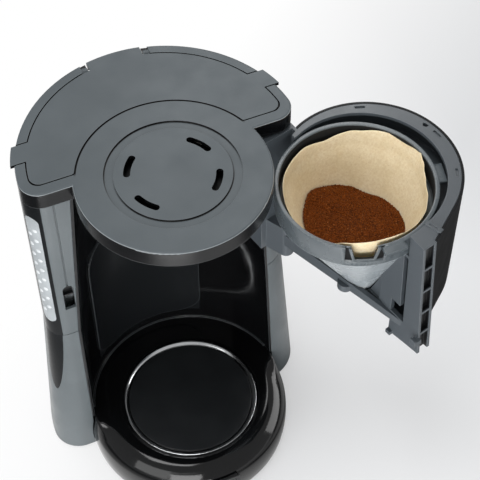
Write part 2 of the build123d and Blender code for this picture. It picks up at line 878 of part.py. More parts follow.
def basket_plan(inset=0.0, rear_y=0.0):
    radius = basket_radius - inset
    limit = front_y - bar_gap + rear_y
    tip = (bar_top_outer + inset, limit)
    heel = (bar_top_outer + inset, front_y - bar_gap - bar_depth)
    far = hypot(*heel)
    angle = atan2(heel[1], heel[0]) + acos(radius / far)
    touch = (radius * cos(angle), radius * sin(angle))
    flare = make_face(Polyline(touch, heel, tip, (0, limit), (0, 0), close=True))
    plan = Circle(radius) + flare
    right_limit = limit + block_half / 2
    plan -= Pos(-reach, limit + reach) * Rectangle(2 * reach, 2 * reach)
    return plan - Pos(reach, right_limit + reach) * Rectangle(2 * reach, 2 * reach)


def insert_rod(z0, z1, radius):
    return rod(insert_x, insert_y, z0, z1, radius)


def hinge_block():
    rear_y = hinge_y + block_half
    nose = Pos(hinge_x - nose_reach, hinge_y) * Circle(nose_radius)
    heel = Pos(hinge_x, hinge_y) * Circle(block_half)
    body = lift(make_hull(nose.edges() + heel.edges()), block_low_z, nose_z)
    body += block(block_step_x, hinge_x, front_y, rear_y, block_low_z, basket_top_z)
    body += rod(hinge_x, hinge_y, block_low_z, basket_top_z, block_half)
    body += lift(Pos((block_step_x + hinge_x) / 2, front_y + wall / 2) * Rectangle(
        hinge_x - block_step_x + 8, wall), block_low_z, basket_top_z)
    body -= insert_rod(insert_low_z - basket_plate, total_height, insert_radius + insert_gap)
    body -= rod(hinge_x - nose_reach, hinge_y, nose_z - nose_recess, total_height, nose_radius - nose_wall)
    pin = hinge_pin_radius + hinge_play
    body -= rod(hinge_x, hinge_y, 0, block_low_z + hinge_pin_depth + 1, pin)
    return body - rod(hinge_x, hinge_y, basket_top_z - hinge_pin_depth - 1, total_height, pin)


def latch_bar():
    back_y = front_y - bar_gap
    corners = [
        (bar_top_outer, basket_top_z),
        (bar_top_inner, basket_top_z),
        (bar_low_inner, bar_low_z),
        (bar_low_outer, bar_low_z + bar_end_rise),
    ]
    side = make_face(Polyline(*corners, close=True))
    plane = Plane(origin=(0, back_y, 0), x_dir=(1, 0, 0), z_dir=(0, -1, 0))
    bar = extrude(plane * side, bar_depth)
    length = basket_top_z - bar_low_z
    lean = degrees(atan2(bar_top_outer - bar_low_outer, length))
    pitch = (length - bar_rib) / bar_cells
    for cell in range(bar_cells):
        z = bar_low_z + bar_rib + pitch * (cell + 0.5)
        x = bar_low_outer + (bar_top_outer - bar_low_outer) * (z - bar_low_z) / length
        hollow = Box(2 * cell_depth, bar_depth - 2 * bar_rib, pitch - bar_rib)
        bar -= Pos(x, back_y - bar_depth / 2, z) * Rot(0, lean, 0) * hollow
    z0 = slot_high_z - hook_drop
    x0 = slot_x - hook_width / 2
    bar += block(x0, x0 + hook_width, back_y - 1, back_y + hook_reach, z0, z0 + hook_height)
    tip = back_y + hook_reach
    bar += block(x0, x0 + hook_width, tip - hook_lip, tip, z0, z0 + hook_height + hook_lip)
    return bar


def bottom_rail():
    run = Vector(*rail_right) - Vector(*rail_left)
    middle = (Vector(*rail_right) + Vector(*rail_left)) * 0.5
    turn = degrees(atan2(run.Y, run.X))
    half = run.length / 2
    top_z = basket_low_z + rail_height
    edge = [
        (-half, basket_low_z),
        (half, basket_low_z - rail_right_drop),
        (half, top_z + rail_right_lift),
        (-half, top_z),
    ]
    side = extrude(Plane.XZ * make_face(Polyline(*edge, close=True)), rail_thick / 2, both=True)
    rail = Pos(middle.X, middle.Y) * Rot(0, 0, turn) * side
    boss_x = insert_x - rail_boss_offset
    boss_y = rail_left[1] + (boss_x - rail_left[0]) * run.Y / run.X
    boss_z = basket_low_z - rail_boss_drop
    rail += rod(boss_x, boss_y, boss_z, boss_z + rail_boss_height, rail_boss_radius)
    rail -= insert_rod(0, cone_low_z, outlet_radius + insert_gap)
    return rail - cone(cone_low_z - insert_gap, insert_low_z, -insert_gap)


# Web between the cone and the latch bar, with a step, and a pocket beside the bar's foot
def bar_inner_x(z):
    share = (z - bar_low_z) / (basket_top_z - bar_low_z)
    return bar_low_inner + (bar_top_inner - bar_low_inner) * share


def latch_web():
    back_y = front_y - bar_gap
    top_z = insert_low_z - fit_gap
    low_x = bar_inner_x(basket_low_z)
    foot_z = bar_low_z + bar_foot_rise
    edge = [
        (low_x + web_bar_gap, basket_low_z),
        (bar_inner_x(top_z) + web_bar_gap, top_z),
        (insert_x, top_z),
        (insert_x, basket_low_z),
    ]
    plane = Plane(origin=(0, back_y, 0), x_dir=(1, 0, 0), z_dir=(0, -1, 0))
    web = extrude(plane * make_face(Polyline(*edge, close=True)), web_thick)
    step_x = low_x + web_bar_gap + web_pocket_width + web_step
    web -= block(step_x, reach, back_y - web_step_depth, reach, basket_low_z + rail_height, total_height)
    web -= block(-reach, low_x + web_bar_gap + web_pocket_width, 0, reach, foot_z, foot_z + web_pocket_height)
    foot_x = low_x + bar_foot_width
    foot_low_z = bar_low_z - bar_foot_drop
    sole = [(low_x - 1, bar_low_z), (foot_x, foot_low_z), (foot_x, foot_z), (low_x - 1, foot_z)]
    foot = extrude(plane * make_face(Polyline(*sole, close=True)), web_thick)
    nub_low_z = foot_low_z + 1
    nub_x = foot_x - nub_width
    foot += block(nub_x, foot_x, back_y - 1, back_y + nub_reach, nub_low_z, nub_low_z + nub_height)
    web -= cone(cone_low_z - web_cone_gap, top_z + 1, -web_cone_gap)
    web -= insert_rod(0, cone_low_z, outlet_radius + outlet_gap)
    return web + foot


def basket_frame():
    inset = basket_skin + fit_gap
    wall_plan = basket_plan(inset) - basket_plan(inset + basket_wall, rear_y=block_half)
    frame = lift(wall_plan, basket_low_z, basket_top_z)
    flange = lift(basket_plan(inset), basket_top_z - basket_plate, basket_top_z)
    flange -= rod(0, flange_y, 0, total_height, flange_hole)
    for angle in mark_angles:
        mark = block(mark_radius - mark_wide / 2, mark_radius + mark_wide / 2, -mark_long / 2, mark_long / 2,
                     basket_top_z - basket_plate / 2, total_height)
        flange -= Rot(0, 0, angle) * mark
    spot = radians(mark_hole_angle)
    flange -= rod(mark_radius * cos(spot), mark_radius * sin(spot), 0, total_height, mark_hole)
    frame += flange - insert_rod(0, total_height, insert_radius + insert_gap)
    ledge_z = insert_low_z - fit_gap
    ledge = lift(basket_plan(inset), ledge_z - basket_plate, ledge_z)
    frame += ledge - insert_rod(0, total_height, insert_radius - insert_band + 1.0)
    floor = lift(basket_plan(inset), basket_low_z, basket_low_z + basket_plate)
    frame += floor - insert_rod(0, total_height, outlet_radius + outlet_gap)
    frame += hinge_block()
    frame += latch_bar()
    frame += latch_web()
    frame += bottom_rail()
    length, width, rise = pad_size
    raised = Box(length, width, rise) - Pos(0, 0, rise - pad_slot[2]) * Box(*pad_slot[:2], rise)
    frame += Pos(*pad_spot, basket_top_z + rise / 2) * Rot(0, 0, pad_turn) * raised
    return swing(frame)


def basket_front_shell():
    skin = basket_plan() - basket_plan(basket_skin, rear_y=block_half)
    skin -= Pos(reach, front_y - bar_gap + reach) * Rectangle(2 * reach, 2 * reach)
    shell = lift(skin, basket_low_z, basket_top_z)
    back_y = front_y - bar_gap
    clear = block(-reach, bar_top_inner, back_y - bar_depth - fit_gap, reach, 0, total_height)
    return swing(shell - clear)


def cone_section(z, inset):
    top_z = insert_low_z + wall
    share = (z - cone_low_z) / (top_z - cone_low_z)
    long_half = cone_low_long + (cone_top_radius - cone_low_long) * share - inset
    short_half = cone_low_short + (cone_top_radius - cone_low_short) * share - inset
    return Pos(insert_x, insert_y, z) * Ellipse(long_half, short_half)


def cone(z0, z1, inset):
    return loft([cone_section(z0, inset), cone_section(z1, inset)])


# Pouring trough in the insert's notch, with sloping sides, drawn towards +X between two radii
def notch_trough(inset, x0, x1):
    low_z = insert_top_z - notch_depth - lip_sink + inset
    high_z = insert_top_z - lip_drop + 2 * inset
    low = lip_low / 2 - inset
    high = lip_top / 2 - inset
    plane = Plane(origin=(x0, 0, 0), x_dir=(0, 1, 0), z_dir=(1, 0, 0))
    side = make_face(Polyline((-low, low_z), (low, low_z), (high, high_z), (-high, high_z), close=True))
    return extrude(plane * side, x1 - x0)


def filter_insert():
    top_z = insert_low_z + wall
    inner = insert_radius - insert_band
    body = insert_rod(insert_low_z, insert_top_z, insert_radius)
    body -= insert_rod(0, total_height, inner)
    body = rounded_top(body, insert_round)
    floor = insert_rod(insert_low_z, top_z, inner + 1)
    body += floor - insert_rod(0, total_height, cone_top_radius - cone_wall)
    body += cone(cone_low_z, top_z, 0) - cone(cone_low_z + cone_wall, top_z + 1, cone_wall)
    body += insert_rod(cone_low_z - outlet_drop, cone_low_z + cone_wall, outlet_radius)
    body -= insert_rod(0, cone_low_z + 2 * cone_wall, outlet_bore)
    place = Pos(insert_x, insert_y)
    notch = rod(0, 0, insert_top_z - notch_depth, total_height, insert_radius + 5)
    notch -= rod(0, 0, 0, total_height, inner + notch_skin)
    notch &= block(0, reach, -notch_width / 2, notch_width / 2, 0, total_height)
    turn = place * Rot(0, 0, notch_angle)
    body -= turn * notch
    body += turn * notch_trough(0.0, inner + lip_inset, inner + lip_inset + lip_depth)
    body -= turn * notch_trough(lip_wall, inner - insert_band, insert_radius + insert_band)
    tab = block(insert_radius - insert_band / 2, insert_radius + tab_reach, -tab_width / 2, tab_width / 2,
                insert_top_z - tab_thick - insert_round, insert_top_z - insert_round)
    for angle in tab_angles:
        body += place * Rot(0, 0, angle) * tab
    return swing(body)


def paper_filter():
    inset = cone_wall + paper_gap
    outer = cone(paper_low_z, paper_high_z, inset)
    inner = cone(paper_low_z + paper_thick, paper_high_z + 1, inset + paper_thick)
    return swing(outer - inner)


def coffee_grounds():
    inset = cone_wall + paper_gap + paper_thick + grounds_gap
    fill = cone(paper_low_z + paper_thick + grounds_gap, paper_high_z, inset)
    dome = Pos(insert_x, insert_y, grounds_top_z - grounds_dome) * Sphere(grounds_dome)
    low = rod(insert_x, insert_y, 0, grounds_top_z - grounds_dome / 6, basket_radius)
    return swing(fill & dome & (low + dome))


# Drip-stop valve
button_top_z = cone_low_z - outlet_drop - valve_travel - button_clear


def valve_stem():
    seal_z = cone_low_z + cone_wall + fit_gap
    stem = insert_rod(button_top_z, seal_z + seal_thick + 1, stem_radius)
    return swing(stem + insert_rod(button_top_z - button_thick, button_top_z, button_radius))


def valve_seal():
    seal_z = cone_low_z + cone_wall + fit_gap
    seal = insert_rod(seal_z, seal_z + seal_thick, seal_radius)
    return swing(seal - insert_rod(0, total_height, stem_radius + 0.02))


def valve_spring():
    top = cone_low_z - outlet_drop - fit_gap
    coil = insert_rod(button_top_z + fit_gap, top, spring_radius)
    return swing(coil - insert_rod(0, total_height, spring_radius - spring_wire))


# Basket hinge pins
def hinge_pin_lower():
    z0 = shelf_z - hinge_pin_depth
    return rod(hinge_x, hinge_y, z0, block_low_z + hinge_pin_depth, hinge_pin_radius)


def hinge_pin_upper():
    z0 = basket_top_z - hinge_pin_depth
    return rod(hinge_x, hinge_y, z0, cap_z + hinge_pin_depth, hinge_pin_radius)


makers = [
    base_shell, base_plate, rubber_feet, base_screws, lower_housing, gauge_tongue, upper_housing,
    gauge_panel, gauge_window, bay_liner, latch_catch, top_cover, spray_head, head_underplate,
    tank_lid, lid_hinge_pin, water_tank, inlet_hose, check_valve, riser_tube, heater_tube,
    heating_element, thermostat, thermal_fuses, hot_plate, hot_plate_ring, switch_housing,
    power_rocker, rocker_lens, cord_inlet, basket_frame, basket_front_shell, filter_insert,
    paper_filter, coffee_grounds, valve_stem, valve_seal, valve_spring, hinge_pin_lower, hinge_pin_upper,
]

os.makedirs("parts", exist_ok=True)
for maker in makers:
    made = maker()
    solids = made if isinstance(made, list) else [made]
    shape = Compound(children=[s for part in solids for s in part.solids()])
    shape.label = maker.__name__
    export_step(shape, f"parts/{maker.__name__}.step")
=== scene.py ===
import math
import bmesh
import bpy
from mathutils import Matrix, Vector, noise


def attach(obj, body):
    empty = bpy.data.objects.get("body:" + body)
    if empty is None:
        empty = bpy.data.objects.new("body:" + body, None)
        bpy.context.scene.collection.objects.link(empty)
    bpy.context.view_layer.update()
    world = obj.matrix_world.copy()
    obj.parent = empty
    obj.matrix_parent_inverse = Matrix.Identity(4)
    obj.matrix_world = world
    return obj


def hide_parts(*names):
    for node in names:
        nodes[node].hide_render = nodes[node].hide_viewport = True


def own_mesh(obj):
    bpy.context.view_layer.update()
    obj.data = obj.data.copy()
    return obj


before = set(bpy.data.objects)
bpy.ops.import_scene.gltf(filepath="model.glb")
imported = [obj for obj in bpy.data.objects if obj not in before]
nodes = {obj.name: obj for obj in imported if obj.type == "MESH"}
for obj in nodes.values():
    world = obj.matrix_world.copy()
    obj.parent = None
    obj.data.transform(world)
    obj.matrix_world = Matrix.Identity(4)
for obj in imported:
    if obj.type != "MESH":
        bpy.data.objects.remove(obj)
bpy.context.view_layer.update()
scene = bpy.context.scene
scene.view_settings.view_transform = "Standard"
mm = 0.001
print("frame loaded:", len(nodes), "nodes")


# camera, as the photograph was taken: from the left front, high up
shot = {
    "azimuth": -24.119, "elevation": 52.681, "roll": 0.768,
    "aim": (0.0, 0.0, 0.355), "distance": 1.06995,
    "sideways": 0.06740, "upwards": -0.04697,
    "lens": 108.09, "sensor": 36.0, "shift": (-0.0501, -0.0080), "clip": (0.01, 50),
}


def placeCamera(s):
    turn, rise, roll = (math.radians(s[k]) for k in ("azimuth", "elevation", "roll"))
    back = Vector((math.sin(turn) * math.cos(rise), -math.cos(turn) * math.cos(rise), math.sin(rise)))
    right = Vector((math.cos(turn), math.sin(turn), 0))
    up = back.cross(right)
    across = right * math.cos(roll) + up * math.sin(roll)
    above = up * math.cos(roll) - right * math.sin(roll)
    spot = Vector(s["aim"]) + back * s["distance"] + across * s["sideways"] + above * s["upwards"]
    data = bpy.data.cameras.new("camera")
    data.lens, data.sensor_width = s["lens"], s["sensor"]
    data.shift_x, data.shift_y = s["shift"]
    data.clip_start, data.clip_end = s["clip"]
    cam = bpy.data.objects.new("camera", data)
    cam.matrix_world = Matrix((
        (across.x, above.x, back.x, spot.x),
        (across.y, above.y, back.y, spot.y),
        (across.z, above.z, back.z, spot.z),
        (0, 0, 0, 1)))
    scene.collection.objects.link(cam)
    scene.camera = cam


placeCamera(shot)
print("camera placed")


# node helpers, for the finishes and for the shapes that node trees grow
def linear(colour):
    # sRGB 0-255 as seen in the photograph, to the linear values a socket takes
    out = []
    for c in colour:
        c = c / 255
        out.append(c / 12.92 if c <= 0.04045 else ((c + 0.055) / 1.055) ** 2.4)
    return (*out, 1.0)


class Wired:
    # what every node tree needs

    def add(self, kind, **values):
        node = self.tree.nodes.new(kind)
        for key, value in values.items():
            setattr(node, key, value)
        return node

    def link(self, a, b):
        self.tree.links.new(a, b)


# edges rounded by the shader: its rays, and how far a normal turns (as a cosine) where an edge's painted
# highlight is strongest
edgeLook = {"samples": 6, "litEdge": 0.86}

# the part of a noise's range that is spread over a whole share
wide = (0.3, 0.7)
narrow = (0.35, 0.65)


class Finish(Wired):
    # one material with its shader and the node shortcuts that the finishes use

    def __init__(self, name):
        self.mat = bpy.data.materials.new(name)
        self.mat.use_nodes = True
        self.tree = self.mat.node_tree
        self.tree.nodes.clear()
        self.out = self.add("ShaderNodeOutputMaterial")
        self.shader = self.add("ShaderNodeBsdfPrincipled")
        self.link(self.shader.outputs["BSDF"], self.out.inputs["Surface"])
        self.coords = self.add("ShaderNodeTexCoord").outputs["Object"]
        self.normal = None

    def fill(self, socket, value):
        # a number is set on the socket, another socket is linked to it
        if isinstance(value, (int, float)):
            socket.default_value = value
        else:
            self.link(value, socket)

    def put(self, **values):
        # fixed values go straight on the shader's sockets
        for key, value in values.items():
            self.shader.inputs[key.replace("_", " ")].default_value = value

    def noise(self, scale, detail=2, rough=0.5, vector=None):
        node = self.add("ShaderNodeTexNoise")
        node.inputs["Scale"].default_value = scale
        node.inputs["Detail"].default_value = detail
        node.inputs["Roughness"].default_value = rough
        self.link(vector or self.coords, node.inputs["Vector"])
        return node.outputs["Fac"]

    def cells(self, scale):
        node = self.add("ShaderNodeTexVoronoi")
        node.inputs["Scale"].default_value = scale
        self.link(self.coords, node.inputs["Vector"])
        return node.outputs["Distance"]

    def moved(self, turn, shift):
        node = self.add("ShaderNodeMapping")
        node.inputs["Rotation"].default_value = turn
        node.inputs["Location"].default_value = shift
        self.link(self.coords, node.inputs["Vector"])
        return node.outputs["Vector"]

    def span(self, value, fromLow, fromHigh, toLow=0.0, toHigh=1.0):
        node = self.add("ShaderNodeMapRange")
        node.inputs["From Min"].default_value = fromLow
        node.inputs["From Max"].default_value = fromHigh
        node.inputs["To Min"].default_value = toLow
        node.inputs["To Max"].default_value = toHigh
        self.link(value, node.inputs["Value"])
        return node.outputs["Result"]

    def over(self, value, at, soft):
        return self.span(value, at - soft, at + soft)

    def under(self, value, at, soft):
        return self.span(value, at + soft, at - soft)

    def between(self, value, low, high, soft):
        return self.times(self.over(value, low, soft), self.under(value, high, soft))

    def maths(self, kind, a, b=0.0):
        node = self.add("ShaderNodeMath", operation=kind)
        self.fill(node.inputs[0], a)
        self.fill(node.inputs[1], b)
        return node.outputs["Value"]

    def times(self, first, *others):
        for other in others:
            first = self.maths("MULTIPLY", first, other)
        return first

    def axes(self):
        # the piece's own X, Y and Z
        parts = self.add("ShaderNodeSeparateXYZ")
        self.link(self.coords, parts.inputs["Vector"])
        return parts.outputs

    def awayFrom(self, x, y):
        # distance from an upright axis
        axes = self.axes()
        sides = self.maths("SUBTRACT", axes["X"], x), self.maths("SUBTRACT", axes["Y"], y)
        squares = [self.times(side, side) for side in sides]
        return self.maths("SQRT", self.maths("ADD", *squares))

    def along(self, way):
        # distance in one direction
        node = self.add("ShaderNodeVectorMath", operation="DOT_PRODUCT")
        self.link(self.coords, node.inputs[0])
        node.inputs[1].default_value = way
        return node.outputs["Value"]

    def upward(self, low, high):
        # 1 on faces that look up, 0 on upright ones, in the piece's own frame
        parts = self.add("ShaderNodeSeparateXYZ")
        self.link(self.add("ShaderNodeTexCoord").outputs["Normal"], parts.inputs["Vector"])
        return self.span(parts.outputs["Z"], low, high)

    def mix(self, share, a, b):
        # a and b are sRGB colours or sockets
        node = self.add("ShaderNodeMix", data_type="RGBA")
        self.link(share, node.inputs["Factor"])
        for key, value in ((6, a), (7, b)):
            if isinstance(value, tuple):
                node.inputs[key].default_value = linear(value)
            else:
                self.link(value, node.inputs[key])
        return node.outputs[2]

    def blend(self, share, a, b):
        # a and b are numbers or sockets
        node = self.add("ShaderNodeMix", data_type="FLOAT")
        self.link(share, node.inputs["Factor"])
        self.fill(node.inputs[2], a)
        self.fill(node.inputs[3], b)
        return node.outputs[0]

    def softEdges(self, radius):
        # the moulded corner radius, too small to model on every rib
        bevel = self.add("ShaderNodeBevel", samples=edgeLook["samples"])
        bevel.inputs["Radius"].default_value = radius
        self.normal = bevel.outputs["Normal"]
        flat = self.add("ShaderNodeNewGeometry").outputs["Normal"]
        dot = self.add("ShaderNodeVectorMath", operation="DOT_PRODUCT")
        self.link(self.normal, dot.inputs[0])
        self.link(flat, dot.inputs[1])
        # the mask of rounded edges, which the plastics use for a painted edge highlight
        return self.span(dot.outputs["Value"], 1.0, edgeLook["litEdge"])

    def bump(self, height, strength, distance):
        node = self.add("ShaderNodeBump")
        node.inputs["Strength"].default_value = strength
        node.inputs["Distance"].default_value = distance
        self.link(height, node.inputs["Height"])
        if self.normal:
            self.link(self.normal, node.inputs["Normal"])
        self.normal = node.outputs["Normal"]

    def colour(self, socket):
        self.link(socket, self.shader.inputs["Base Color"])

    def roughness(self, socket):
        self.link(socket, self.shader.inputs["Roughness"])

    def done(self):
        if self.normal:
            self.link(self.normal, self.shader.inputs["Normal"])
        return self.mat


# what the moulded plastics share, where a look doesn't set its own
moulding = {
    "cloud": 22, "speck": 0.12, "speckScale": 0.55, "speckReach": (0.30, 0.75),
    "smear": 60, "shine": 0.5, "grainHeight": 0.0002,
}


def mouldedPlastic(name, ownLook):
    # satin or gloss moulded plastic: spark-eroded grain, faint clouding, and edges painted paler as a painted
    # highlight
    look = dict(moulding, **ownLook)
    f = Finish(name)
    edges = f.softEdges(look["edge"])
    cloud = f.span(f.noise(look["cloud"], detail=3), *narrow)
    base = f.mix(cloud, look["dark"], look["light"])
    speck = f.span(f.noise(look["grain"] * look["speckScale"], detail=1), *look["speckReach"])
    base = f.mix(f.times(speck, look["speck"]), base, look["fleck"])
    rough = f.span(f.noise(look["smear"], detail=4), *wide, *look["rough"])
    if "skirt" in look:
        base, rough = uprightSkirt(f, look["skirt"], base, rough)
    if "satin" in look:
        base, rough = satinPanel(f, look["satin"], base, rough)
    # the rounded edges are painted lighter: a painted highlight along every edge
    base = f.mix(f.times(edges, look["litEdgeShare"]), base, look["litEdge"])
    if "gapShade" in look:
        base = paintGapShade(f, look["gapShade"], base)
    if "pocketShade" in look:
        base = paintPocketShade(f, look["pocketShade"], base)
    if "hollow" in look:
        base, rough = paintRingShadeLight(f, look["hollow"], base, rough)
    f.colour(base)
    f.roughness(rough)
    f.bump(f.noise(look["grain"]), look["depth"], look["grainHeight"])
    f.put(Specular_IOR_Level=look["shine"])
    return f.done()


def uprightSkirt(f, s, base, rough):
    # upright faces get their own tone and roughness: the cover's polished dark skirt is its own finish, while
    # the basket's upright faces are painted lighter as painted light; a painted highlight may run along the
    # curve between them
    up = f.upward(*s["turn"])
    base = f.mix(up, s["tone"], base)
    # a painted highlight along the curved fillet between the top and the upright faces
    if "rim" in s:
        highlightBand = f.times(up, f.maths("SUBTRACT", 1.0, up))
        base = f.mix(f.times(highlightBand, s["rimHighlightShare"]), base, s["rim"])
    return base, f.blend(up, s["rough"], rough)


def satinPanel(f, s, base, rough):
    # one raised panel of the piece is left duller than the polished rest
    axes = f.axes()
    inside = f.times(
        f.between(axes["X"], *s["X"], s["soft"]), f.between(axes["Z"], *s["Z"], s["soft"]),
        f.over(axes["Y"], s["Y"], s["soft"]))
    return f.mix(inside, base, s["tone"]), f.blend(inside, rough, s["rough"])


def paintGapShade(f, s, base):
    # painted shade on the flat floors of clearances below the top face, and on the shaded side of each ring
    # groove
    axes = f.axes()
    shadeMask = f.times(f.upward(*s["level"]), f.under(axes["Z"], s["Z"], s["soft"]))
    away = f.awayFrom(0.0, 0.0)
    for low, high, shadeFrom, shadeTo in s["grooves"]:
        line = f.times(f.between(away, low, high, s["soft"]), f.span(axes["Y"], shadeFrom, shadeTo))
        shadeMask = f.maths("MAXIMUM", shadeMask, line)
    return f.mix(shadeMask, base, s["tone"])


def paintPocketShade(f, p, base):
    # painted shade deep in the pockets down one face of a bar
    out = f.along(p["out"])
    lip, back = ([p["face"] - depth for depth in p[key]] for key in ("lip", "back"))
    shadeMask = f.times(
        f.span(out, *lip), f.span(out, *back), f.between(f.along(p["across"]), *p["width"], p["soft"]),
        f.under(f.axes()["Z"], p["top"], p["soft"]))
    return f.mix(shadeMask, base, p["tone"])


def paintRingShadeLight(f, h, base, rough):
    # painted shade on the inside of a ring, where little light comes, and painted light on the cone under it,
    # paler as if lit
    height = f.axes()["Z"]
    base = f.mix(f.under(height, h["under"], h["softHeight"]), base, h["pale"])
    inside = f.times(
        f.under(f.awayFrom(*h["axis"]), h["radius"], h["softRadius"]),
        f.between(height, *h["Z"], h["softHeight"]))
    return f.mix(inside, base, h["tone"]), f.blend(inside, rough, h["rough"])


coverLook = {
    "dark": (76, 83, 87), "light": (83, 90, 94), "fleck": (98, 105, 109), "litEdge": (158, 165, 168),
    "rough": (0.42, 0.52), "grain": 2300, "depth": 0.14, "edge": 0.0008, "litEdgeShare": 0.25, "shine": 0.25,
    "skirt": {"turn": (0.35, 0.75), "tone": (11, 12, 14), "rough": 0.17,
              # the rim colour is a painted highlight on the fillet
              "rim": (188, 194, 197), "rimHighlightShare": 1.8},
    # painted shade in the lid gap, the rebates and the ring grooves
    "gapShade": {"level": (0.93, 0.98), "Z": 0.3535, "soft": 0.0001, "tone": (9, 10, 11),
             "grooves": ((0.0511, 0.0521, -0.015, 0.02), (0.0446, 0.0455, 0.015, -0.02),
                         (0.0722, 0.0738, 0.025, 0.028))},
}
columnLook = {
    "dark": (84, 91, 94), "light": (92, 99, 102), "fleck": (106, 113, 116), "litEdge": (134, 141, 144),
    "rough": (0.30, 0.40), "grain": 2300, "depth": 0.10, "edge": 0.0007, "litEdgeShare": 0.25,
}
blackLook = {
    "dark": (8, 8, 9), "light": (11, 12, 13), "fleck": (17, 18, 20), "litEdge": (116, 122, 126),
    "rough": (0.07, 0.13), "grain": 900, "depth": 0.015, "edge": 0.0009, "litEdgeShare": 0.40,
    "smear": 34, "speck": 0.08, "shine": 0.35,
}
bayLook = dict(blackLook, satin={
    "X": (-0.0625, 0.0415), "Y": 0.031, "Z": (0.057, 0.214), "soft": 0.001,
    "tone": (20, 22, 24), "rough": 0.30,
})
panelLook = {
    "dark": (17, 19, 21), "light": (21, 23, 25), "fleck": (29, 32, 34), "litEdge": (70, 74, 77),
    "rough": (0.16, 0.24), "grain": 1500, "depth": 0.03, "edge": 0.0006, "litEdgeShare": 0.3, "shine": 0.14,
}
innerLook = {
    "dark": (16, 17, 19), "light": (21, 22, 24), "fleck": (30, 32, 34), "litEdge": (54, 57, 60),
    "rough": (0.42, 0.55), "grain": 1800, "depth": 0.15, "edge": 0.0006, "litEdgeShare": 0.2,
}
basketLook = {
    "dark": (62, 68, 73), "light": (71, 77, 82), "fleck": (88, 94, 99), "litEdge": (122, 129, 134),
    "rough": (0.30, 0.40), "grain": 2300, "depth": 0.10, "edge": 0.0007, "litEdgeShare": 0.35,
    # upright faces painted lighter than the top: painted light where the lamps fall on them
    "skirt": {"turn": (0.35, 0.75), "tone": (74, 80, 85), "rough": 0.36},
    # painted shade in the bar's pockets
    "pocketShade": {"out": (0.239, -0.968, 0.080), "across": (0.971, 0.240, 0.0), "face": 0.1846,
                "lip": (0.0003, 0.0014), "back": (0.010, 0.008), "width": (0.1114, 0.1214),
                "top": 0.3378, "soft": 0.0001, "tone": (13, 14, 16)},
}
# the basket's front shell, painted darker than the basket's own plastic as painted shade
shellShadeLook = {
    "dark": (13, 14, 15), "light": (17, 18, 20), "fleck": (24, 26, 28), "litEdge": (66, 70, 73),
    "rough": (0.30, 0.40), "grain": 1500, "depth": 0.03, "edge": 0.0006, "litEdgeShare": 0.3, "shine": 0.12,
}
insertLook = {
    "dark": (76, 83, 87), "light": (86, 93, 97), "fleck": (104, 111, 115), "litEdge": (146, 153, 157),
    "rough": (0.24, 0.32), "grain": 2300, "depth": 0.05, "edge": 0.0008, "litEdgeShare": 0.35,
    # painted shade inside the ring and painted light on the cone below it
    "hollow": {"axis": (0.1289, -0.0491), "radius": 0.0612, "softRadius": 0.0002,
               "Z": (0.3185, 0.3348), "softHeight": 0.0003, "tone": (12, 13, 14), "rough": 0.9,
               "under": 0.3163, "pale": (146, 153, 157)},
}
whiteLook = {
    "dark": (205, 203, 196), "light": (216, 214, 208), "fleck": (226, 225, 220), "litEdge": (232, 231, 228),
    "rough": (0.35, 0.45), "grain": 1700, "depth": 0.08, "edge": 0.0005, "litEdgeShare": 0.2,
}
coverGrey = mouldedPlastic("coverGrey", coverLook)
columnGrey = mouldedPlastic("columnGrey", columnLook)
glossBlack = mouldedPlastic("glossBlack", blackLook)
bayBlack = mouldedPlastic("bayBlack", bayLook)
panelBlack = mouldedPlastic("panelBlack", panelLook)
innerBlack = mouldedPlastic("innerBlack", innerLook)
basketGrey = mouldedPlastic("basketGrey", basketLook)
shellShadeBlack = mouldedPlastic("shellShadeBlack", shellShadeLook)
insertGrey = mouldedPlastic("insertGrey", insertLook)
whitePlastic = mouldedPlastic("whitePlastic", whiteLook)

turning = {"cloud": 40, "markHeight": 0.0001}


def turnedMetal(name, look):
    # bare or coated metal with fine turning marks about an upright axis
    f = Finish(name)
    f.softEdges(look["edge"])
    lines = f.add("ShaderNodeTexNoise", noise_dimensions="1D")
    lines.inputs["Scale"].default_value = look["lines"]
    lines.inputs["Detail"].default_value = 3
    f.link(f.awayFrom(*look["axis"]), lines.inputs["W"])
    marks = lines.outputs["Fac"]
    f.colour(f.mix(f.span(f.noise(turning["cloud"], detail=4), *narrow), look["dark"], look["light"]))
    f.roughness(f.span(marks, *wide, *look["rough"]))
    f.bump(marks, look["depth"], turning["markHeight"])
    f.put(Metallic=look["metal"])
    return f.done()


ringLook = {
    "axis": (0.0, -0.007), "lines": 2600, "dark": (196, 198, 200), "light": (214, 216, 218),
    "rough": (0.10, 0.20), "depth": 0.06, "metal": 1.0, "edge": 0.0005,
}
plateLook = {
    "axis": (0.0, -0.007), "lines": 700, "dark": (22, 24, 26), "light": (29, 31, 33),
    "rough": (0.30, 0.38), "depth": 0.05, "metal": 0.0, "edge": 0.0005,
}
alloyLook = {
    "axis": (0.0, -0.007), "lines": 500, "dark": (150, 150, 148), "light": (172, 172, 170),
    "rough": (0.34, 0.50), "depth": 0.2, "metal": 1.0, "edge": 0.0004,
}
steelLook = {
    "axis": (0.0884, 0.0335), "lines": 3000, "dark": (168, 169, 170), "light": (186, 187, 188),
    "rough": (0.18, 0.30), "depth": 0.1, "metal": 1.0, "edge": 0.0003,
}
ringChrome = turnedMetal("ringChrome", ringLook)
plateBlack = turnedMetal("plateBlack", plateLook)
heaterAlloy = turnedMetal("heaterAlloy", alloyLook)
pinSteel = turnedMetal("pinSteel", steelLook)

rubbery = {"edge": 0.0006, "cloud": 55, "smear": 420, "grain": 1600, "grainHeight": 0.0002, "shine": 0.35}


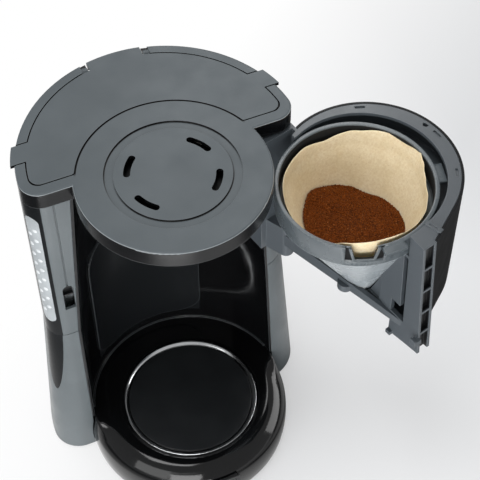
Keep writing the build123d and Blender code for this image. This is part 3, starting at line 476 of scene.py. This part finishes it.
def softRubber(name, ownLook):
    look = dict(rubbery, **ownLook)
    f = Finish(name)
    f.softEdges(look["edge"])
    f.colour(f.mix(f.span(f.noise(look["cloud"], detail=4), *wide), look["dark"], look["light"]))
    f.roughness(f.span(f.noise(look["smear"], detail=3), *wide, *look["rough"]))
    f.bump(f.noise(look["grain"], detail=3), look["depth"], look["grainHeight"])
    f.put(Specular_IOR_Level=look["shine"])
    return f.done()


feetLook = {"dark": (26, 26, 27), "light": (36, 36, 37), "rough": (0.62, 0.8), "depth": 0.3}
hoseLook = {"dark": (176, 172, 162), "light": (192, 188, 178), "rough": (0.4, 0.55), "depth": 0.1}
sealLook = {"dark": (128, 62, 48), "light": (146, 74, 58), "rough": (0.45, 0.6), "depth": 0.1}
feetRubber = softRubber("feetRubber", feetLook)
hoseSilicone = softRubber("hoseSilicone", hoseLook)
sealSilicone = softRubber("sealSilicone", sealLook)

glassy = {"edge": 0.0006, "cloud": 30, "smear": 180, "rippleHeight": 0.0003, "bends": 1.49,
          "insideDepth": (0.004, 0.004, 0.004)}


def clearPlastic(name, ownLook):
    look = dict(glassy, **ownLook)
    f = Finish(name)
    f.softEdges(look["edge"])
    f.colour(f.mix(f.span(f.noise(look["cloud"], detail=3), *narrow), look["dark"], look["light"]))
    f.roughness(f.span(f.noise(look["smear"], detail=3), *wide, *look["rough"]))
    f.bump(f.noise(look["ripple"]), look["depth"], look["rippleHeight"])
    f.put(Transmission_Weight=look["through"], IOR=look["bends"])
    if "inside" in look:
        f.put(Subsurface_Weight=look["inside"], Subsurface_Radius=look["insideDepth"], Subsurface_Scale=1.0)
    return f.done()


windowLook = {
    "dark": (156, 161, 164), "light": (172, 177, 180), "rough": (0.18, 0.28), "ripple": 260,
    "depth": 0.08, "through": 0.0, "inside": 0.25,
}
domeLook = dict(windowLook, dark=(196, 200, 203), light=(210, 214, 216))
tankLook = {
    "dark": (186, 194, 198), "light": (200, 207, 211), "rough": (0.2, 0.3), "ripple": 120,
    "depth": 0.05, "through": 0.6,
}
lensLook = {
    "dark": (150, 18, 14), "light": (172, 26, 20), "rough": (0.1, 0.16), "ripple": 900,
    "depth": 0.05, "through": 0.35,
}
windowWhite = clearPlastic("windowWhite", windowLook)
domeWhite = clearPlastic("domeWhite", domeLook)
tankClear = clearPlastic("tankClear", tankLook)
lensRed = clearPlastic("lensRed", lensLook)

# each noise is its scale, detail and roughness; each bump a noise, its strength and its height
paperLook = {
    "dark": (232, 211, 172), "light": (246, 230, 197), "fibres": (520, 4, 0.65), "fibreReach": (0.34, 0.66),
    "blotch": (218, 194, 150), "blotchNoise": (60, 5, 0.6), "blotchSpan": (0.40, 0.68, 0.0, 0.40),
    "fleck": (186, 152, 108), "fleckNoise": (640, 2, 0.5), "fleckSpan": (0.68, 0.78, 0.0, 0.45),
    "bumps": (((900, 4, 0.6), 0.35, 0.0003), ((130, 3, 0.55), 0.22, 0.0008)),
    "smear": 300, "rough": (0.8, 0.95), "shine": 0.12, "inside": 0.12, "insideDepth": (0.003, 0.002, 0.0012),
}


def filterPaper(name, look):
    # unbleached filter paper: fibres, blotches, flecks and the fine crepe of the sheet
    f = Finish(name)
    tone = f.mix(f.span(f.noise(*look["fibres"]), *look["fibreReach"]), look["dark"], look["light"])
    for mark in ("blotch", "fleck"):
        tone = f.mix(f.span(f.noise(*look[mark + "Noise"]), *look[mark + "Span"]), tone, look[mark])
    f.colour(tone)
    f.roughness(f.span(f.noise(look["smear"]), *wide, *look["rough"]))
    for grain, strength, height in look["bumps"]:
        f.bump(f.noise(*grain), strength, height)
    f.put(Specular_IOR_Level=look["shine"], Subsurface_Weight=look["inside"])
    f.put(Subsurface_Radius=look["insideDepth"], Subsurface_Scale=1.0)
    return f.done()


coffee = {
    "tone": (900, 3, 0.6), "chaffNoise": (780, 2, 0.5), "chaffTurn": (0.4, 0.2, 0.7), "chaffShift": (3, 1, 2),
    "chaffSpan": (0.64, 0.74, 0.0, 0.75), "smear": 600, "rough": (0.62, 0.88), "lump": (0.9, 0.0008),
    "shine": 0.1,
}


def groundCoffee(name, ownLook):
    look = dict(coffee, **ownLook)
    f = Finish(name)
    tone = f.mix(f.span(f.noise(*look["tone"]), *wide), look["dark"], look["light"])
    chaff = f.noise(*look["chaffNoise"], f.moved(look["chaffTurn"], look["chaffShift"]))
    f.colour(f.mix(f.span(chaff, *look["chaffSpan"]), tone, look["chaff"]))
    f.roughness(f.span(f.noise(look["smear"]), *wide, *look["rough"]))
    f.bump(f.cells(look["cell"]), *look["lump"])
    f.put(Specular_IOR_Level=look["shine"])
    return f.done()


bodyLook = {"cell": 900, "dark": (46, 18, 2), "light": (112, 55, 12), "chaff": (172, 106, 48)}
grainLook = {"cell": 1500, "dark": (68, 28, 4), "light": (150, 78, 24), "chaff": (214, 150, 92)}
paperTan = filterPaper("paperTan", paperLook)
coffeeBody = groundCoffee("coffeeBody", bodyLook)
coffeeGrain = groundCoffee("coffeeGrain", grainLook)
print("finishes mixed:", len(bpy.data.materials))


# finish of every CAD piece, also of those that a piece made below stands in for
wears = {
    "top_cover": coverGrey, "tank_lid": coverGrey,
    "upper_housing": columnGrey, "lower_housing": columnGrey,
    "base_shell": glossBlack, "bay_liner": bayBlack,
    "gauge_panel": panelBlack, "gauge_tongue": panelBlack, "gauge_window": windowWhite,
    "latch_catch": innerBlack, "spray_head": innerBlack, "head_underplate": innerBlack,
    "base_plate": innerBlack, "rubber_feet": feetRubber, "base_screws": pinSteel,
    "lid_hinge_pin": pinSteel, "hinge_pin_lower": pinSteel, "hinge_pin_upper": pinSteel,
    "water_tank": tankClear, "inlet_hose": hoseSilicone, "riser_tube": hoseSilicone,
    "check_valve": whitePlastic, "heater_tube": heaterAlloy, "heating_element": heaterAlloy,
    "thermostat": heaterAlloy, "thermal_fuses": whitePlastic,
    "hot_plate": plateBlack, "hot_plate_ring": ringChrome,
    "switch_housing": innerBlack, "power_rocker": glossBlack, "rocker_lens": lensRed,
    "cord_inlet": feetRubber,
    "basket_frame": basketGrey, "basket_front_shell": shellShadeBlack, "filter_insert": insertGrey,
    "paper_filter": paperTan, "coffee_grounds": coffeeBody,
    "valve_stem": whitePlastic, "valve_seal": sealSilicone, "valve_spring": pinSteel,
}
for name, finish in wears.items():
    data = nodes[name].data
    data.materials.clear()
    data.materials.append(finish)
print("finishes on:", len(wears), "of", len(nodes))


# piece helpers
weld = 1e-6
hardAngle = 32


def piece(name, mesh, body, finish, slot, *stands):
    obj = bpy.data.objects.new(name, mesh)
    scene.collection.objects.link(obj)
    if not mesh.materials:
        mesh.materials.append(finish)
    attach(obj, body)
    if stands:
        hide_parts(*stands)
    return obj


def skin(bm, rings):
    # faces between each ring of points and the next
    for low, high in zip(rings, rings[1:]):
        for i in range(len(low)):
            j = (i + 1) % len(low)
            bm.faces.new((low[i], low[j], high[j], high[i]))


def meshOf(name, bm):
    bmesh.ops.remove_doubles(bm, verts=bm.verts, dist=weld)
    bmesh.ops.recalc_face_normals(bm, faces=bm.faces)
    for face in bm.faces:
        face.smooth = True
    mesh = bpy.data.meshes.new(name)
    bm.to_mesh(mesh)
    bm.free()
    return mesh


def copyOf(node):
    # the CAD piece's mesh, to be reshaped
    bm = bmesh.new()
    bm.from_mesh(nodes[node].data)
    bmesh.ops.remove_doubles(bm, verts=bm.verts, dist=weld)
    return bm


def evenPiece(name, bm, body, finish, slot, *stands):
    # a reshaped copy, shaded smooth between its hard edges
    mesh = meshOf(name, bm)
    mesh.set_sharp_from_angle(angle=math.radians(hardAngle))
    obj = piece(name, mesh, body, finish, slot, *stands)
    even = obj.modifiers.new("even", "WEIGHTED_NORMAL")
    even.keep_sharp = True


def eased(t):
    return t * t * (3 - 2 * t)


# the basket's own frame: drawn shut, in mm, then swung open about the hinge as it stands at rest
swingOut = {"hinge": (88.4, 33.5), "angle": 104.0}
swingCos = math.cos(math.radians(swingOut["angle"]))
swingSin = math.sin(math.radians(swingOut["angle"]))


def opened(x, y, z):
    hx, hy = swingOut["hinge"]
    dx, dy = x - hx, y - hy
    turnedX = hx + dx * swingCos - dy * swingSin
    turnedY = hy + dx * swingSin + dy * swingCos
    return Vector((turnedX * mm, turnedY * mm, z * mm))


# the filter cone, an oval that widens upwards and stands steeper above its own top
coneAxis = (-1.5, 14.2)
cone = {"low": 229.2, "tall": 89.4, "foot": (26, 11), "flare": (31.5, 46.5), "above": 0.5}


def coneWall(z, inset):
    # half axes of the oval at a height, in mm
    share = (z - cone["low"]) / cone["tall"]
    share = min(share, 1.0) + cone["above"] * max(share - 1.0, 0.0)
    return [foot + flare * share - inset for foot, flare in zip(cone["foot"], cone["flare"])]


def conePoint(turn, z, inset):
    long, short = coneWall(z, inset)
    return coneAxis[0] + long * math.cos(turn), coneAxis[1] + short * math.sin(turn), z


def around(table, degrees):
    # smooth value round the cone from a table of (angle, value)
    rows = sorted((a % 360, v) for a, v in table)
    d = degrees % 360
    rows = [(rows[-1][0] - 360, rows[-1][1])] + rows + [(rows[0][0] + 360, rows[0][1])]
    for (a0, v0), (a1, v1) in zip(rows, rows[1:]):
        if a0 <= d <= a1:
            return v0 + (v1 - v0) * eased((d - a0) / (a1 - a0))


# filter insert: the CAD ring, with the cone's top carried out to the ring's lower edge
insertShape = {"low": 229.2, "high": 318.6, "slack": 0.1, "spread": 4.2, "reach": (20.0, 58.0)}


def makeInsert(n):
    bm = copyOf("filter_insert")
    cx, cy, _ = opened(*coneAxis, 0) / mm
    nearest, farthest = n["reach"]
    for v in bm.verts:
        x, y, z = v.co / mm
        away = math.hypot(x - cx, y - cy)
        if n["low"] < z < n["high"] + n["slack"] and nearest < away < farthest:
            grow = 1 + n["spread"] * (z - n["low"]) / (n["high"] - n["low"]) / away
            v.co.x, v.co.y = (cx + (x - cx) * grow) * mm, (cy + (y - cy) * grow) * mm
    evenPiece("filterInsert", bm, "basket", insertGrey, "insert_grey", "filter_insert")


makeInsert(insertShape)
print("filter insert made")


# base: the CAD shell, with its upper edge rolled off in a wide round shoulder clear of the columns
baseShape = {
    "flat": 72.0, "wall": (90.0, 86.5), "low": 28.0, "deck": 44.0, "deckSlack": 0.02, "edge": 84.0,
    "wallSlack": 2.0, "wallTall": 3.0, "cuts": 12, "join": 5.0, "fade": 24.0,
}


def reachOf(point):
    return math.hypot(point.x, point.y) / mm


def splitDeck(bm, b):
    # more rings of points on the flat deck and on the upright wall, for the shoulder to bend at
    deck, wall = [], []
    for e in bm.edges:
        near, far = sorted(reachOf(v.co) for v in e.verts)
        low, high = sorted(v.co.z / mm for v in e.verts)
        if low > b["deck"] - b["deckSlack"] and near < b["edge"] < far:
            deck.append(e)
        elif near > b["edge"] + b["wallSlack"] and high - low > b["wallTall"] and high > b["low"]:
            wall.append(e)
    bmesh.ops.subdivide_edges(bm, edges=deck + wall, cuts=b["cuts"], use_grid_fill=True)


def makeBase(b):
    bm = copyOf("base_shell")
    splitDeck(bm, b)
    lowWall, highWall = b["wall"]
    tall = b["deck"] - b["low"]
    for v in bm.verts:
        r, z = reachOf(v.co), v.co.z / mm
        if r <= b["flat"] or z <= b["low"]:
            continue
        # a square of deck and wall is mapped to a quarter of a disc
        rise = min((z - b["low"]) / tall, 1.0)
        wall = lowWall + (highWall - lowWall) * rise - b["flat"]
        out = min((r - b["flat"]) / wall, 1.0)
        turned = b["flat"] + wall * out * math.sqrt(1 - rise * rise / 2)
        lowered = b["low"] + tall * rise * math.sqrt(1 - out * out / 2)
        share = eased(min(max((b["join"] - v.co.y / mm) / b["fade"], 0.0), 1.0))
        grow = 1 + share * (turned / r - 1)
        v.co.x, v.co.y = v.co.x * grow, v.co.y * grow
        v.co.z = (z + share * (lowered - z)) * mm
    evenPiece("baseShell", bm, "housing", glossBlack, "gloss_black", "base_shell")


makeBase(baseShape)
print("base shoulder turned")


# filter paper: an oval cone of thin paper with an uneven rim, folded in where it stands off the wall
paper = {
    "low": 243.2, "inset": 3.0, "tightest": -2.2, "thick": 0.3, "turns": 200, "rows": 46,
    "rim": [(9, 331.0), (34, 329.5), (-11, 328.0), (-41, 332.0), (-59, 333.4), (-80, 335.0), (-93, 335.4),
            (-104, 334.6), (-119, 332.6), (-132, 330.0), (-146, 328.0), (-164, 330.0), (-178, 334.0),
            (172, 337.4), (158, 338.2), (146, 338.0), (134, 336.0), (118, 330.0), (95, 326.0), (62, 327.5)],
    "ragged": 0.5, "ragScale": 6, "ragRow": 3.1,
    "standOff": [(9, 0.6), (34, 0.2), (-11, 1.2), (-41, -0.6), (-60, -1.6), (-80, -2.2), (-93, -1.6),
                 (-103, 1.0), (-113, 3.6), (-123, 4.0), (-136, 1.8), (-150, 0.6), (160, 0.5), (139, 0.2),
                 (118, 0.5), (62, 0.6)],
    "fadeDepth": 55.0, "fadePower": 1.6,
    "ripple": 0.5, "rippleLow": 0.4, "rippleOff": 0.45, "rippleScale": 2.4, "rippleRise": 0.03,
    "cut": (0.37, 0.12), "cutArea": 0.0265,
}


def makePaper(p):
    bm = bmesh.new()
    rings = []
    for row in range(p["rows"] + 1):
        ring = []
        for i in range(p["turns"]):
            degrees = 360 * i / p["turns"]
            turn = math.radians(degrees)
            x, y = math.cos(turn), math.sin(turn)
            top = around(p["rim"], degrees)
            top += p["ragged"] * noise.noise(Vector((x * p["ragScale"], y * p["ragScale"], p["ragRow"])))
            z = p["low"] + (top - p["low"]) * row / p["rows"]
            near = max(0.0, 1 - (top - z) / p["fadeDepth"])
            off = around(p["standOff"], degrees) * near ** p["fadePower"]
            spot = Vector((x * p["rippleScale"], y * p["rippleScale"], z * p["rippleRise"]))
            off += p["ripple"] * (p["rippleLow"] + near) * (noise.noise(spot) + p["rippleOff"])
            inset = p["inset"] + max(p["tightest"], off)
            ring.append(bm.verts.new(opened(*conePoint(turn, z, inset))))
        rings.append(ring)
    skin(bm, rings)
    bottom = bm.verts.new(opened(*coneAxis, p["low"]))
    for i in range(p["turns"]):
        bm.faces.new((rings[0][(i + 1) % p["turns"]], rings[0][i], bottom))
    obj = piece("paperFilter", meshOf("paperFilter", bm), "basket", paperTan, "filter_paper", "paper_filter")
    wall = obj.modifiers.new("wall", "SOLIDIFY")
    wall.thickness, wall.offset = p["thick"] * mm, -1.0


makePaper(paper)
print("paper filter made")


# ground coffee: an uneven loose heap, lying against the paper
heap = {
    "low": 245.2, "inset": 4.6, "turns": 120, "rows": 14, "rings": 46,
    "edge": [(17, 292.0), (-17, 287.0), (-35, 285.4), (-59, 283.0), (-90, 286.2), (-113, 288.6),
             (-135, 290.0), (36, 288.5), (71, 288.5), (120, 290.0), (170, 290.0)],
    "middle": 293.0, "slump": 0.3, "bulge": 2.0,
    "lump": 1.6, "lumpScale": 0.07, "lumpRow": 1.7, "crumb": 0.45, "crumbScale": 7, "fade": 9,
}


def heapHeight(h, degrees, share):
    edge = around(h["edge"], degrees)
    slope = (h["middle"] - edge) * (1 - share) * (1 - share * h["slump"])
    return edge + slope + h["bulge"] * math.sin(math.pi * share)


def makeHeap(h):
    bm = bmesh.new()
    levels = []
    edgeZ = [around(h["edge"], 360 * i / h["turns"]) for i in range(h["turns"])]
    midX, midY = coneAxis
    for row in range(h["rows"] + 1):
        ring = []
        for i in range(h["turns"]):
            turn = 2 * math.pi * i / h["turns"]
            z = h["low"] + (edgeZ[i] - h["low"]) * row / h["rows"]
            ring.append(bm.verts.new(opened(*conePoint(turn, z, h["inset"]))))
        levels.append(ring)
    for step in range(1, h["rings"]):
        share = 1 - step / h["rings"]
        ring = []
        for i in range(h["turns"]):
            degrees = 360 * i / h["turns"]
            x1, y1, _ = conePoint(math.radians(degrees), edgeZ[i], h["inset"])
            x, y = midX + (x1 - midX) * share, midY + (y1 - midY) * share
            spot = Vector((x * h["lumpScale"], y * h["lumpScale"], h["lumpRow"]))
            rough = h["lump"] * noise.noise(spot) + h["crumb"] * noise.noise(spot * h["crumbScale"])
            z = heapHeight(h, degrees, share) + min(1.0, (1 - share) * h["fade"]) * rough
            ring.append(bm.verts.new(opened(x, y, z)))
        levels.append(ring)
    skin(bm, levels)
    top, under = (bm.verts.new(sum((v.co for v in levels[k]), Vector()) / h["turns"]) for k in (-1, 0))
    for i in range(h["turns"]):
        j = (i + 1) % h["turns"]
        bm.faces.new((levels[-1][i], levels[-1][j], top))
        bm.faces.new((levels[0][j], levels[0][i], under))
    mesh = meshOf("coffeeHeap", bm)
    return piece("coffeeHeap", mesh, "basket", coffeeBody, "ground_coffee", "coffee_grounds")


heapPiece = makeHeap(heap)
print("coffee heap made")


# geometry node helpers
class Grown(Wired):
    # a node tree with named inputs, run once on an object and turned into a plain mesh

    def __init__(self, name):
        self.tree = bpy.data.node_groups.new(name, "GeometryNodeTree")
        for way in ("INPUT", "OUTPUT"):
            self.tree.interface.new_socket("Geometry", in_out=way, socket_type="NodeSocketGeometry")
        self.start = self.add("NodeGroupInput")
        self.end = self.add("NodeGroupOutput")
        self.values = {}

    def size(self, name, kind, value):
        socket = self.tree.interface.new_socket(name, in_out="INPUT", socket_type="NodeSocket" + kind)
        socket.default_value = value
        self.values[socket.identifier] = value
        return self.start.outputs[name]

    def close(self, geometry, finish):
        real = self.add("GeometryNodeRealizeInstances")
        paint = self.add("GeometryNodeSetMaterial")
        paint.inputs["Material"].default_value = finish
        self.link(geometry, real.inputs["Geometry"])
        self.link(real.outputs["Geometry"], paint.inputs["Geometry"])
        self.link(paint.outputs["Geometry"], self.end.inputs[0])

    def run(self, name, base, smooth):
        obj = bpy.data.objects.new(name + "Seed", base)
        scene.collection.objects.link(obj)
        mod = obj.modifiers.new("grow", "NODES")
        mod.node_group = self.tree
        for key, value in self.values.items():
            mod[key] = value
        graph = bpy.context.evaluated_depsgraph_get()
        made = bpy.data.meshes.new_from_object(obj.evaluated_get(graph))
        made.name = name
        obj.modifiers.remove(mod)
        bpy.data.objects.remove(obj)
        if smooth:
            for face in made.polygons:
                face.use_smooth = True
        return made


# loose grains on the heap's top: small balls, squeezed and turned at random
grains = {
    "count": 4600, "size": 0.00088, "seed": 11, "upward": 0.35, "facets": 1,
    "least": (0.35, 0.35, 0.3), "most": (1.15, 1.05, 0.9), "turn": (6.28, 6.28, 6.28),
}


def makeGrains(s):
    g = Grown("scatterGrains")
    count = g.size("Count", "Int", s["count"])
    size = g.size("Grain size", "Float", s["size"])
    seed = g.size("Seed", "Int", s["seed"])
    heapMesh = g.start.outputs["Geometry"]
    parts = g.add("ShaderNodeSeparateXYZ")
    g.link(g.add("GeometryNodeInputNormal").outputs[0], parts.inputs[0])
    upward = g.add("FunctionNodeCompare", data_type="FLOAT", operation="GREATER_THAN")
    upward.inputs["B"].default_value = s["upward"]
    g.link(parts.outputs["Z"], upward.inputs["A"])
    area = g.add("GeometryNodeAttributeStatistic", domain="FACE")
    g.link(heapMesh, area.inputs["Geometry"])
    g.link(upward.outputs["Result"], area.inputs["Selection"])
    g.link(g.add("GeometryNodeInputMeshFaceArea").outputs[0], area.inputs["Attribute"])
    density = g.add("ShaderNodeMath", operation="DIVIDE")
    g.link(count, density.inputs[0])
    g.link(area.outputs["Sum"], density.inputs[1])
    spread = g.add("GeometryNodeDistributePointsOnFaces")
    g.link(heapMesh, spread.inputs["Mesh"])
    g.link(upward.outputs["Result"], spread.inputs["Selection"])
    g.link(density.outputs[0], spread.inputs["Density"])
    g.link(seed, spread.inputs["Seed"])
    crumb = g.add("GeometryNodeMeshIcoSphere")
    crumb.inputs["Subdivisions"].default_value = s["facets"]
    g.link(size, crumb.inputs["Radius"])
    scatter = g.add("GeometryNodeInstanceOnPoints")
    g.link(spread.outputs["Points"], scatter.inputs["Points"])
    g.link(crumb.outputs["Mesh"], scatter.inputs["Instance"])
    for low, high, use in ((s["least"], s["most"], "Scale"), ((0, 0, 0), s["turn"], "Rotation")):
        draw = g.add("FunctionNodeRandomValue", data_type="FLOAT_VECTOR")
        draw.inputs[0].default_value = low
        draw.inputs[1].default_value = high
        g.link(seed, draw.inputs["Seed"])
        g.link(draw.outputs[0], scatter.inputs[use])
    g.close(scatter.outputs["Instances"], coffeeGrain)
    mesh = g.run("coffeeGrains", heapPiece.data.copy(), smooth=False)
    return piece("coffeeGrains", mesh, "basket", coffeeGrain, "ground_coffee")


grainPiece = makeGrains(grains)
print("coffee grains scattered:", len(grainPiece.data.polygons), "faces")


# drip-stop spring: a wound wire over the stem's collar, pressed from below as the stem lifts
spring = {
    "low": 209.75, "high": 216.65, "fixed": 216.9, "radius": 4.5, "wire": 0.42, "turns": 3.5,
    "steps": 40, "sides": 10, "keep": 0.33,
}


def makeSpring(s):
    g = Grown("windSpring")
    radius = g.size("Coil radius", "Float", s["radius"] * mm)
    height = g.size("Coil height", "Float", (s["high"] - s["low"]) * mm)
    wire = g.size("Wire radius", "Float", s["wire"] * mm)
    turns = g.size("Turns", "Float", s["turns"])
    coil = g.add("GeometryNodeCurveSpiral")
    coil.inputs["Resolution"].default_value = s["steps"]
    g.link(turns, coil.inputs["Rotations"])
    g.link(radius, coil.inputs["Start Radius"])
    g.link(radius, coil.inputs["End Radius"])
    g.link(height, coil.inputs["Height"])
    ring = g.add("GeometryNodeCurvePrimitiveCircle")
    ring.inputs["Resolution"].default_value = s["sides"]
    g.link(wire, ring.inputs["Radius"])
    tube = g.add("GeometryNodeCurveToMesh")
    tube.inputs["Fill Caps"].default_value = True
    g.link(coil.outputs[0], tube.inputs["Curve"])
    g.link(ring.outputs[0], tube.inputs["Profile Curve"])
    g.close(tube.outputs["Mesh"], pinSteel)
    mesh = g.run("dripSpring", bpy.data.meshes.new("springSeed"), smooth=True)
    mesh.transform(Matrix.Translation(opened(*coneAxis, s["low"])))
    obj = piece("dripSpring", mesh, "basket", pinSteel, "steel", "valve_spring")
    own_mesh(obj)


makeSpring(spring)
print("spring wound")


# water gauge: two staggered columns of low moulded domes on the window's rounded face
domes = {
    "corner": (-93.5, 33.6), "radius": 14.0, "angle": 211.0, "spread": 9.5, "low": 203.0,
    "rows": 9, "pitch": 12.6, "stagger": 0.25, "dome": 2.9, "facets": 3,
}


def makeDomes(d):
    g = Grown("gaugeDomes")
    rows = g.size("Rows", "Int", d["rows"])
    pitch = g.size("Pitch", "Float", d["pitch"] * mm)
    size = g.size("Dome radius", "Float", d["dome"] * mm)
    step = g.add("ShaderNodeCombineXYZ")
    g.link(pitch, step.inputs["Z"])
    dome = g.add("GeometryNodeMeshIcoSphere")
    dome.inputs["Subdivisions"].default_value = d["facets"]
    g.link(size, dome.inputs["Radius"])
    joined = g.add("GeometryNodeJoinGeometry")
    for side in (-1, 1):
        turn = math.radians(d["angle"] + side * d["spread"])
        column = g.add("GeometryNodeMeshLine", mode="OFFSET")
        column.inputs["Start Location"].default_value = (
            (d["corner"][0] + d["radius"] * math.cos(turn)) * mm,
            (d["corner"][1] + d["radius"] * math.sin(turn)) * mm,
            (d["low"] + d["pitch"] * d["stagger"] * (1 + side)) * mm)
        g.link(rows, column.inputs["Count"])
        g.link(step.outputs[0], column.inputs["Offset"])
        spread = g.add("GeometryNodeInstanceOnPoints")
        g.link(column.outputs["Mesh"], spread.inputs["Points"])
        g.link(dome.outputs["Mesh"], spread.inputs["Instance"])
        g.link(spread.outputs["Instances"], joined.inputs["Geometry"])
    g.close(joined.outputs["Geometry"], domeWhite)
    mesh = g.run("gaugeDomes", bpy.data.meshes.new("domeSeed"), smooth=True)
    piece("gaugeDomes", mesh, "housing", domeWhite, "window_white")


makeDomes(domes)
print("gauge domes set")


# hot plate ring: bright trim that slopes in to the plate, turned from its profile (radius, height)
trim = {
    "axis": (0.0, -7.0), "turns": 180, "hardAngle": 40,
    "profile": [(60.15, 42.85), (60.15, 45.25), (59.95, 45.52), (59.5, 45.6), (59.0, 45.38), (58.0, 44.45),
                (57.0, 43.5), (56.3, 42.95), (55.9, 42.85)],
}


def makeTrim(t):
    bm = bmesh.new()
    rings = []
    for radius, z in t["profile"]:
        ring = []
        for i in range(t["turns"]):
            turn = 2 * math.pi * i / t["turns"]
            ring.append(bm.verts.new(Vector((
                t["axis"][0] + radius * math.cos(turn), t["axis"][1] + radius * math.sin(turn), z)) * mm))
        rings.append(ring)
    skin(bm, rings + rings[:1])
    mesh = meshOf("plateTrim", bm)
    mesh.set_sharp_from_angle(angle=math.radians(t["hardAngle"]))
    piece("plateTrim", mesh, "housing", ringChrome, "ring_chrome", "hot_plate_ring")


makeTrim(trim)
print("plate trim turned")


# floor and light; each mirror span is from, to, brightness there and there
floorLook = {
    "size": 6.0, "rough": 0.9, "shine": 0.05,
    "pale": (236, 237, 239), "far": (204, 206, 209), "farFrom": (0.16, 0.40),
    "white": (255, 255, 255), "lift": 0.35, "slope": 0.75, "fade": (-0.10, 0.26),
    "mirror": ((-0.32, -0.12, 0.12, 1.1), (0.0, 0.10, 1.1, 0.10)),
    "mirrorFront": (-0.18, -0.30, 0.10, 1.1),
    "mirrorStrip": ((0.11, 0.14, 0.10, 0.7), (0.22, 0.27, 0.7, 0.10)),
}


def makeFloor(look):
    half = look["size"] / 2
    mesh = bpy.data.meshes.new("floor")
    corners = [(-half, -half, 0), (half, -half, 0), (half, half, 0), (-half, half, 0)]
    mesh.from_pydata(corners, [], [(0, 1, 2, 3)])
    f = Finish("floorPale")
    f.put(Roughness=look["rough"], Specular_IOR_Level=look["shine"])
    axes = f.axes()
    f.colour(f.mix(f.span(axes["X"], *look["farFrom"]), look["pale"], look["far"]))
    # the camera sees it white behind and to the left of the object, pale grey to its right and in front
    glow = f.add("ShaderNodeEmission")
    glow.inputs["Color"].default_value = linear(look["white"])
    path = f.add("ShaderNodeLightPath")
    seen = f.maths("MAXIMUM", path.outputs["Is Camera Ray"], path.outputs["Is Transmission Ray"])
    slope = f.maths("SUBTRACT", axes["Y"], f.times(axes["X"], look["slope"]))
    mixed = f.add("ShaderNodeMixShader")
    f.link(f.times(seen, f.span(slope, *look["fade"], look["lift"], 1.0)), mixed.inputs[0])
    f.link(f.shader.outputs[0], mixed.inputs[1])
    f.link(glow.outputs[0], mixed.inputs[2])
    # polished faces see it darker to the left, as in the photograph
    # the floor gives the polished faces a glow of its own, dimmer far left and right and brighter in a strip
    # to the right and towards the front: a painted reflection, not a lamp
    mirrored = f.add("ShaderNodeEmission")
    left, right = (f.span(axes["X"], *ends) for ends in look["mirror"])
    strip = f.maths("MINIMUM", *(f.span(axes["X"], *ends) for ends in look["mirrorStrip"]))
    right = f.maths("MAXIMUM", right, f.span(axes["Y"], *look["mirrorFront"]))
    right = f.maths("MAXIMUM", right, strip)
    f.link(f.maths("MINIMUM", left, right), mirrored.inputs["Strength"])
    both = f.add("ShaderNodeMixShader")
    f.link(path.outputs["Is Glossy Ray"], both.inputs[0])
    f.link(mixed.outputs[0], both.inputs[1])
    f.link(mirrored.outputs[0], both.inputs[2])
    f.link(both.outputs[0], f.out.inputs["Surface"])
    floor = bpy.data.objects.new("floor", mesh)
    mesh.materials.append(f.done())
    scene.collection.objects.link(floor)


# each lamp is its place, what it is aimed at, its size, its power and whether it lights dull faces too
studio = {
    "sky": 0.55,
    "lamps": {
        "topBox": ((-0.30, 0.20, 2.6), (0.0, 0.0, 0.15), (1.3, 1.0), 27, True),
        "leftFill": ((-1.55, -1.0, 0.75), (0.05, -0.05, 0.25), (1.1, 0.9), 9, True),
        "frontFill": ((-0.75, -1.60, 0.55), (0.10, -0.03, 0.22), (0.9, 0.7), 15, True),
        "backCard": ((0.29, 0.50, 0.84), (0.08, -0.04, 0.045), (0.40, 0.34), 2.0, False),
        "sideCard": ((1.10, -0.04, 0.25), (0.075, -0.04, 0.038), (1.00, 0.52), 5.6, False),
        "frontCard": ((-0.15, -0.34, 0.02), (-0.03, -0.07, 0.345), (0.30, 0.12), 0.6, True),
    },
}


def makeWorld(level):
    world = bpy.data.worlds.new("studio")
    scene.world = world
    world.use_nodes = True
    back = world.node_tree.nodes["Background"]
    back.inputs["Color"].default_value = (1, 1, 1, 1)
    back.inputs["Strength"].default_value = level


def softLamp(name, spot, aim, size, power, lights):
    data = bpy.data.lights.new(name, "AREA")
    data.shape, data.size, data.size_y = "RECTANGLE", size[0], size[1]
    data.energy = power
    lamp = bpy.data.objects.new(name, data)
    lamp.location = spot
    lamp.visible_camera = False
    lamp.visible_diffuse = lights
    lamp.rotation_mode = "QUATERNION"
    lamp.rotation_quaternion = (Vector(aim) - Vector(spot)).to_track_quat("-Z", "Y")
    scene.collection.objects.link(lamp)


makeFloor(floorLook)
makeWorld(studio["sky"])
for name, values in studio["lamps"].items():
    softLamp(name, *values)
print("floor and light set")
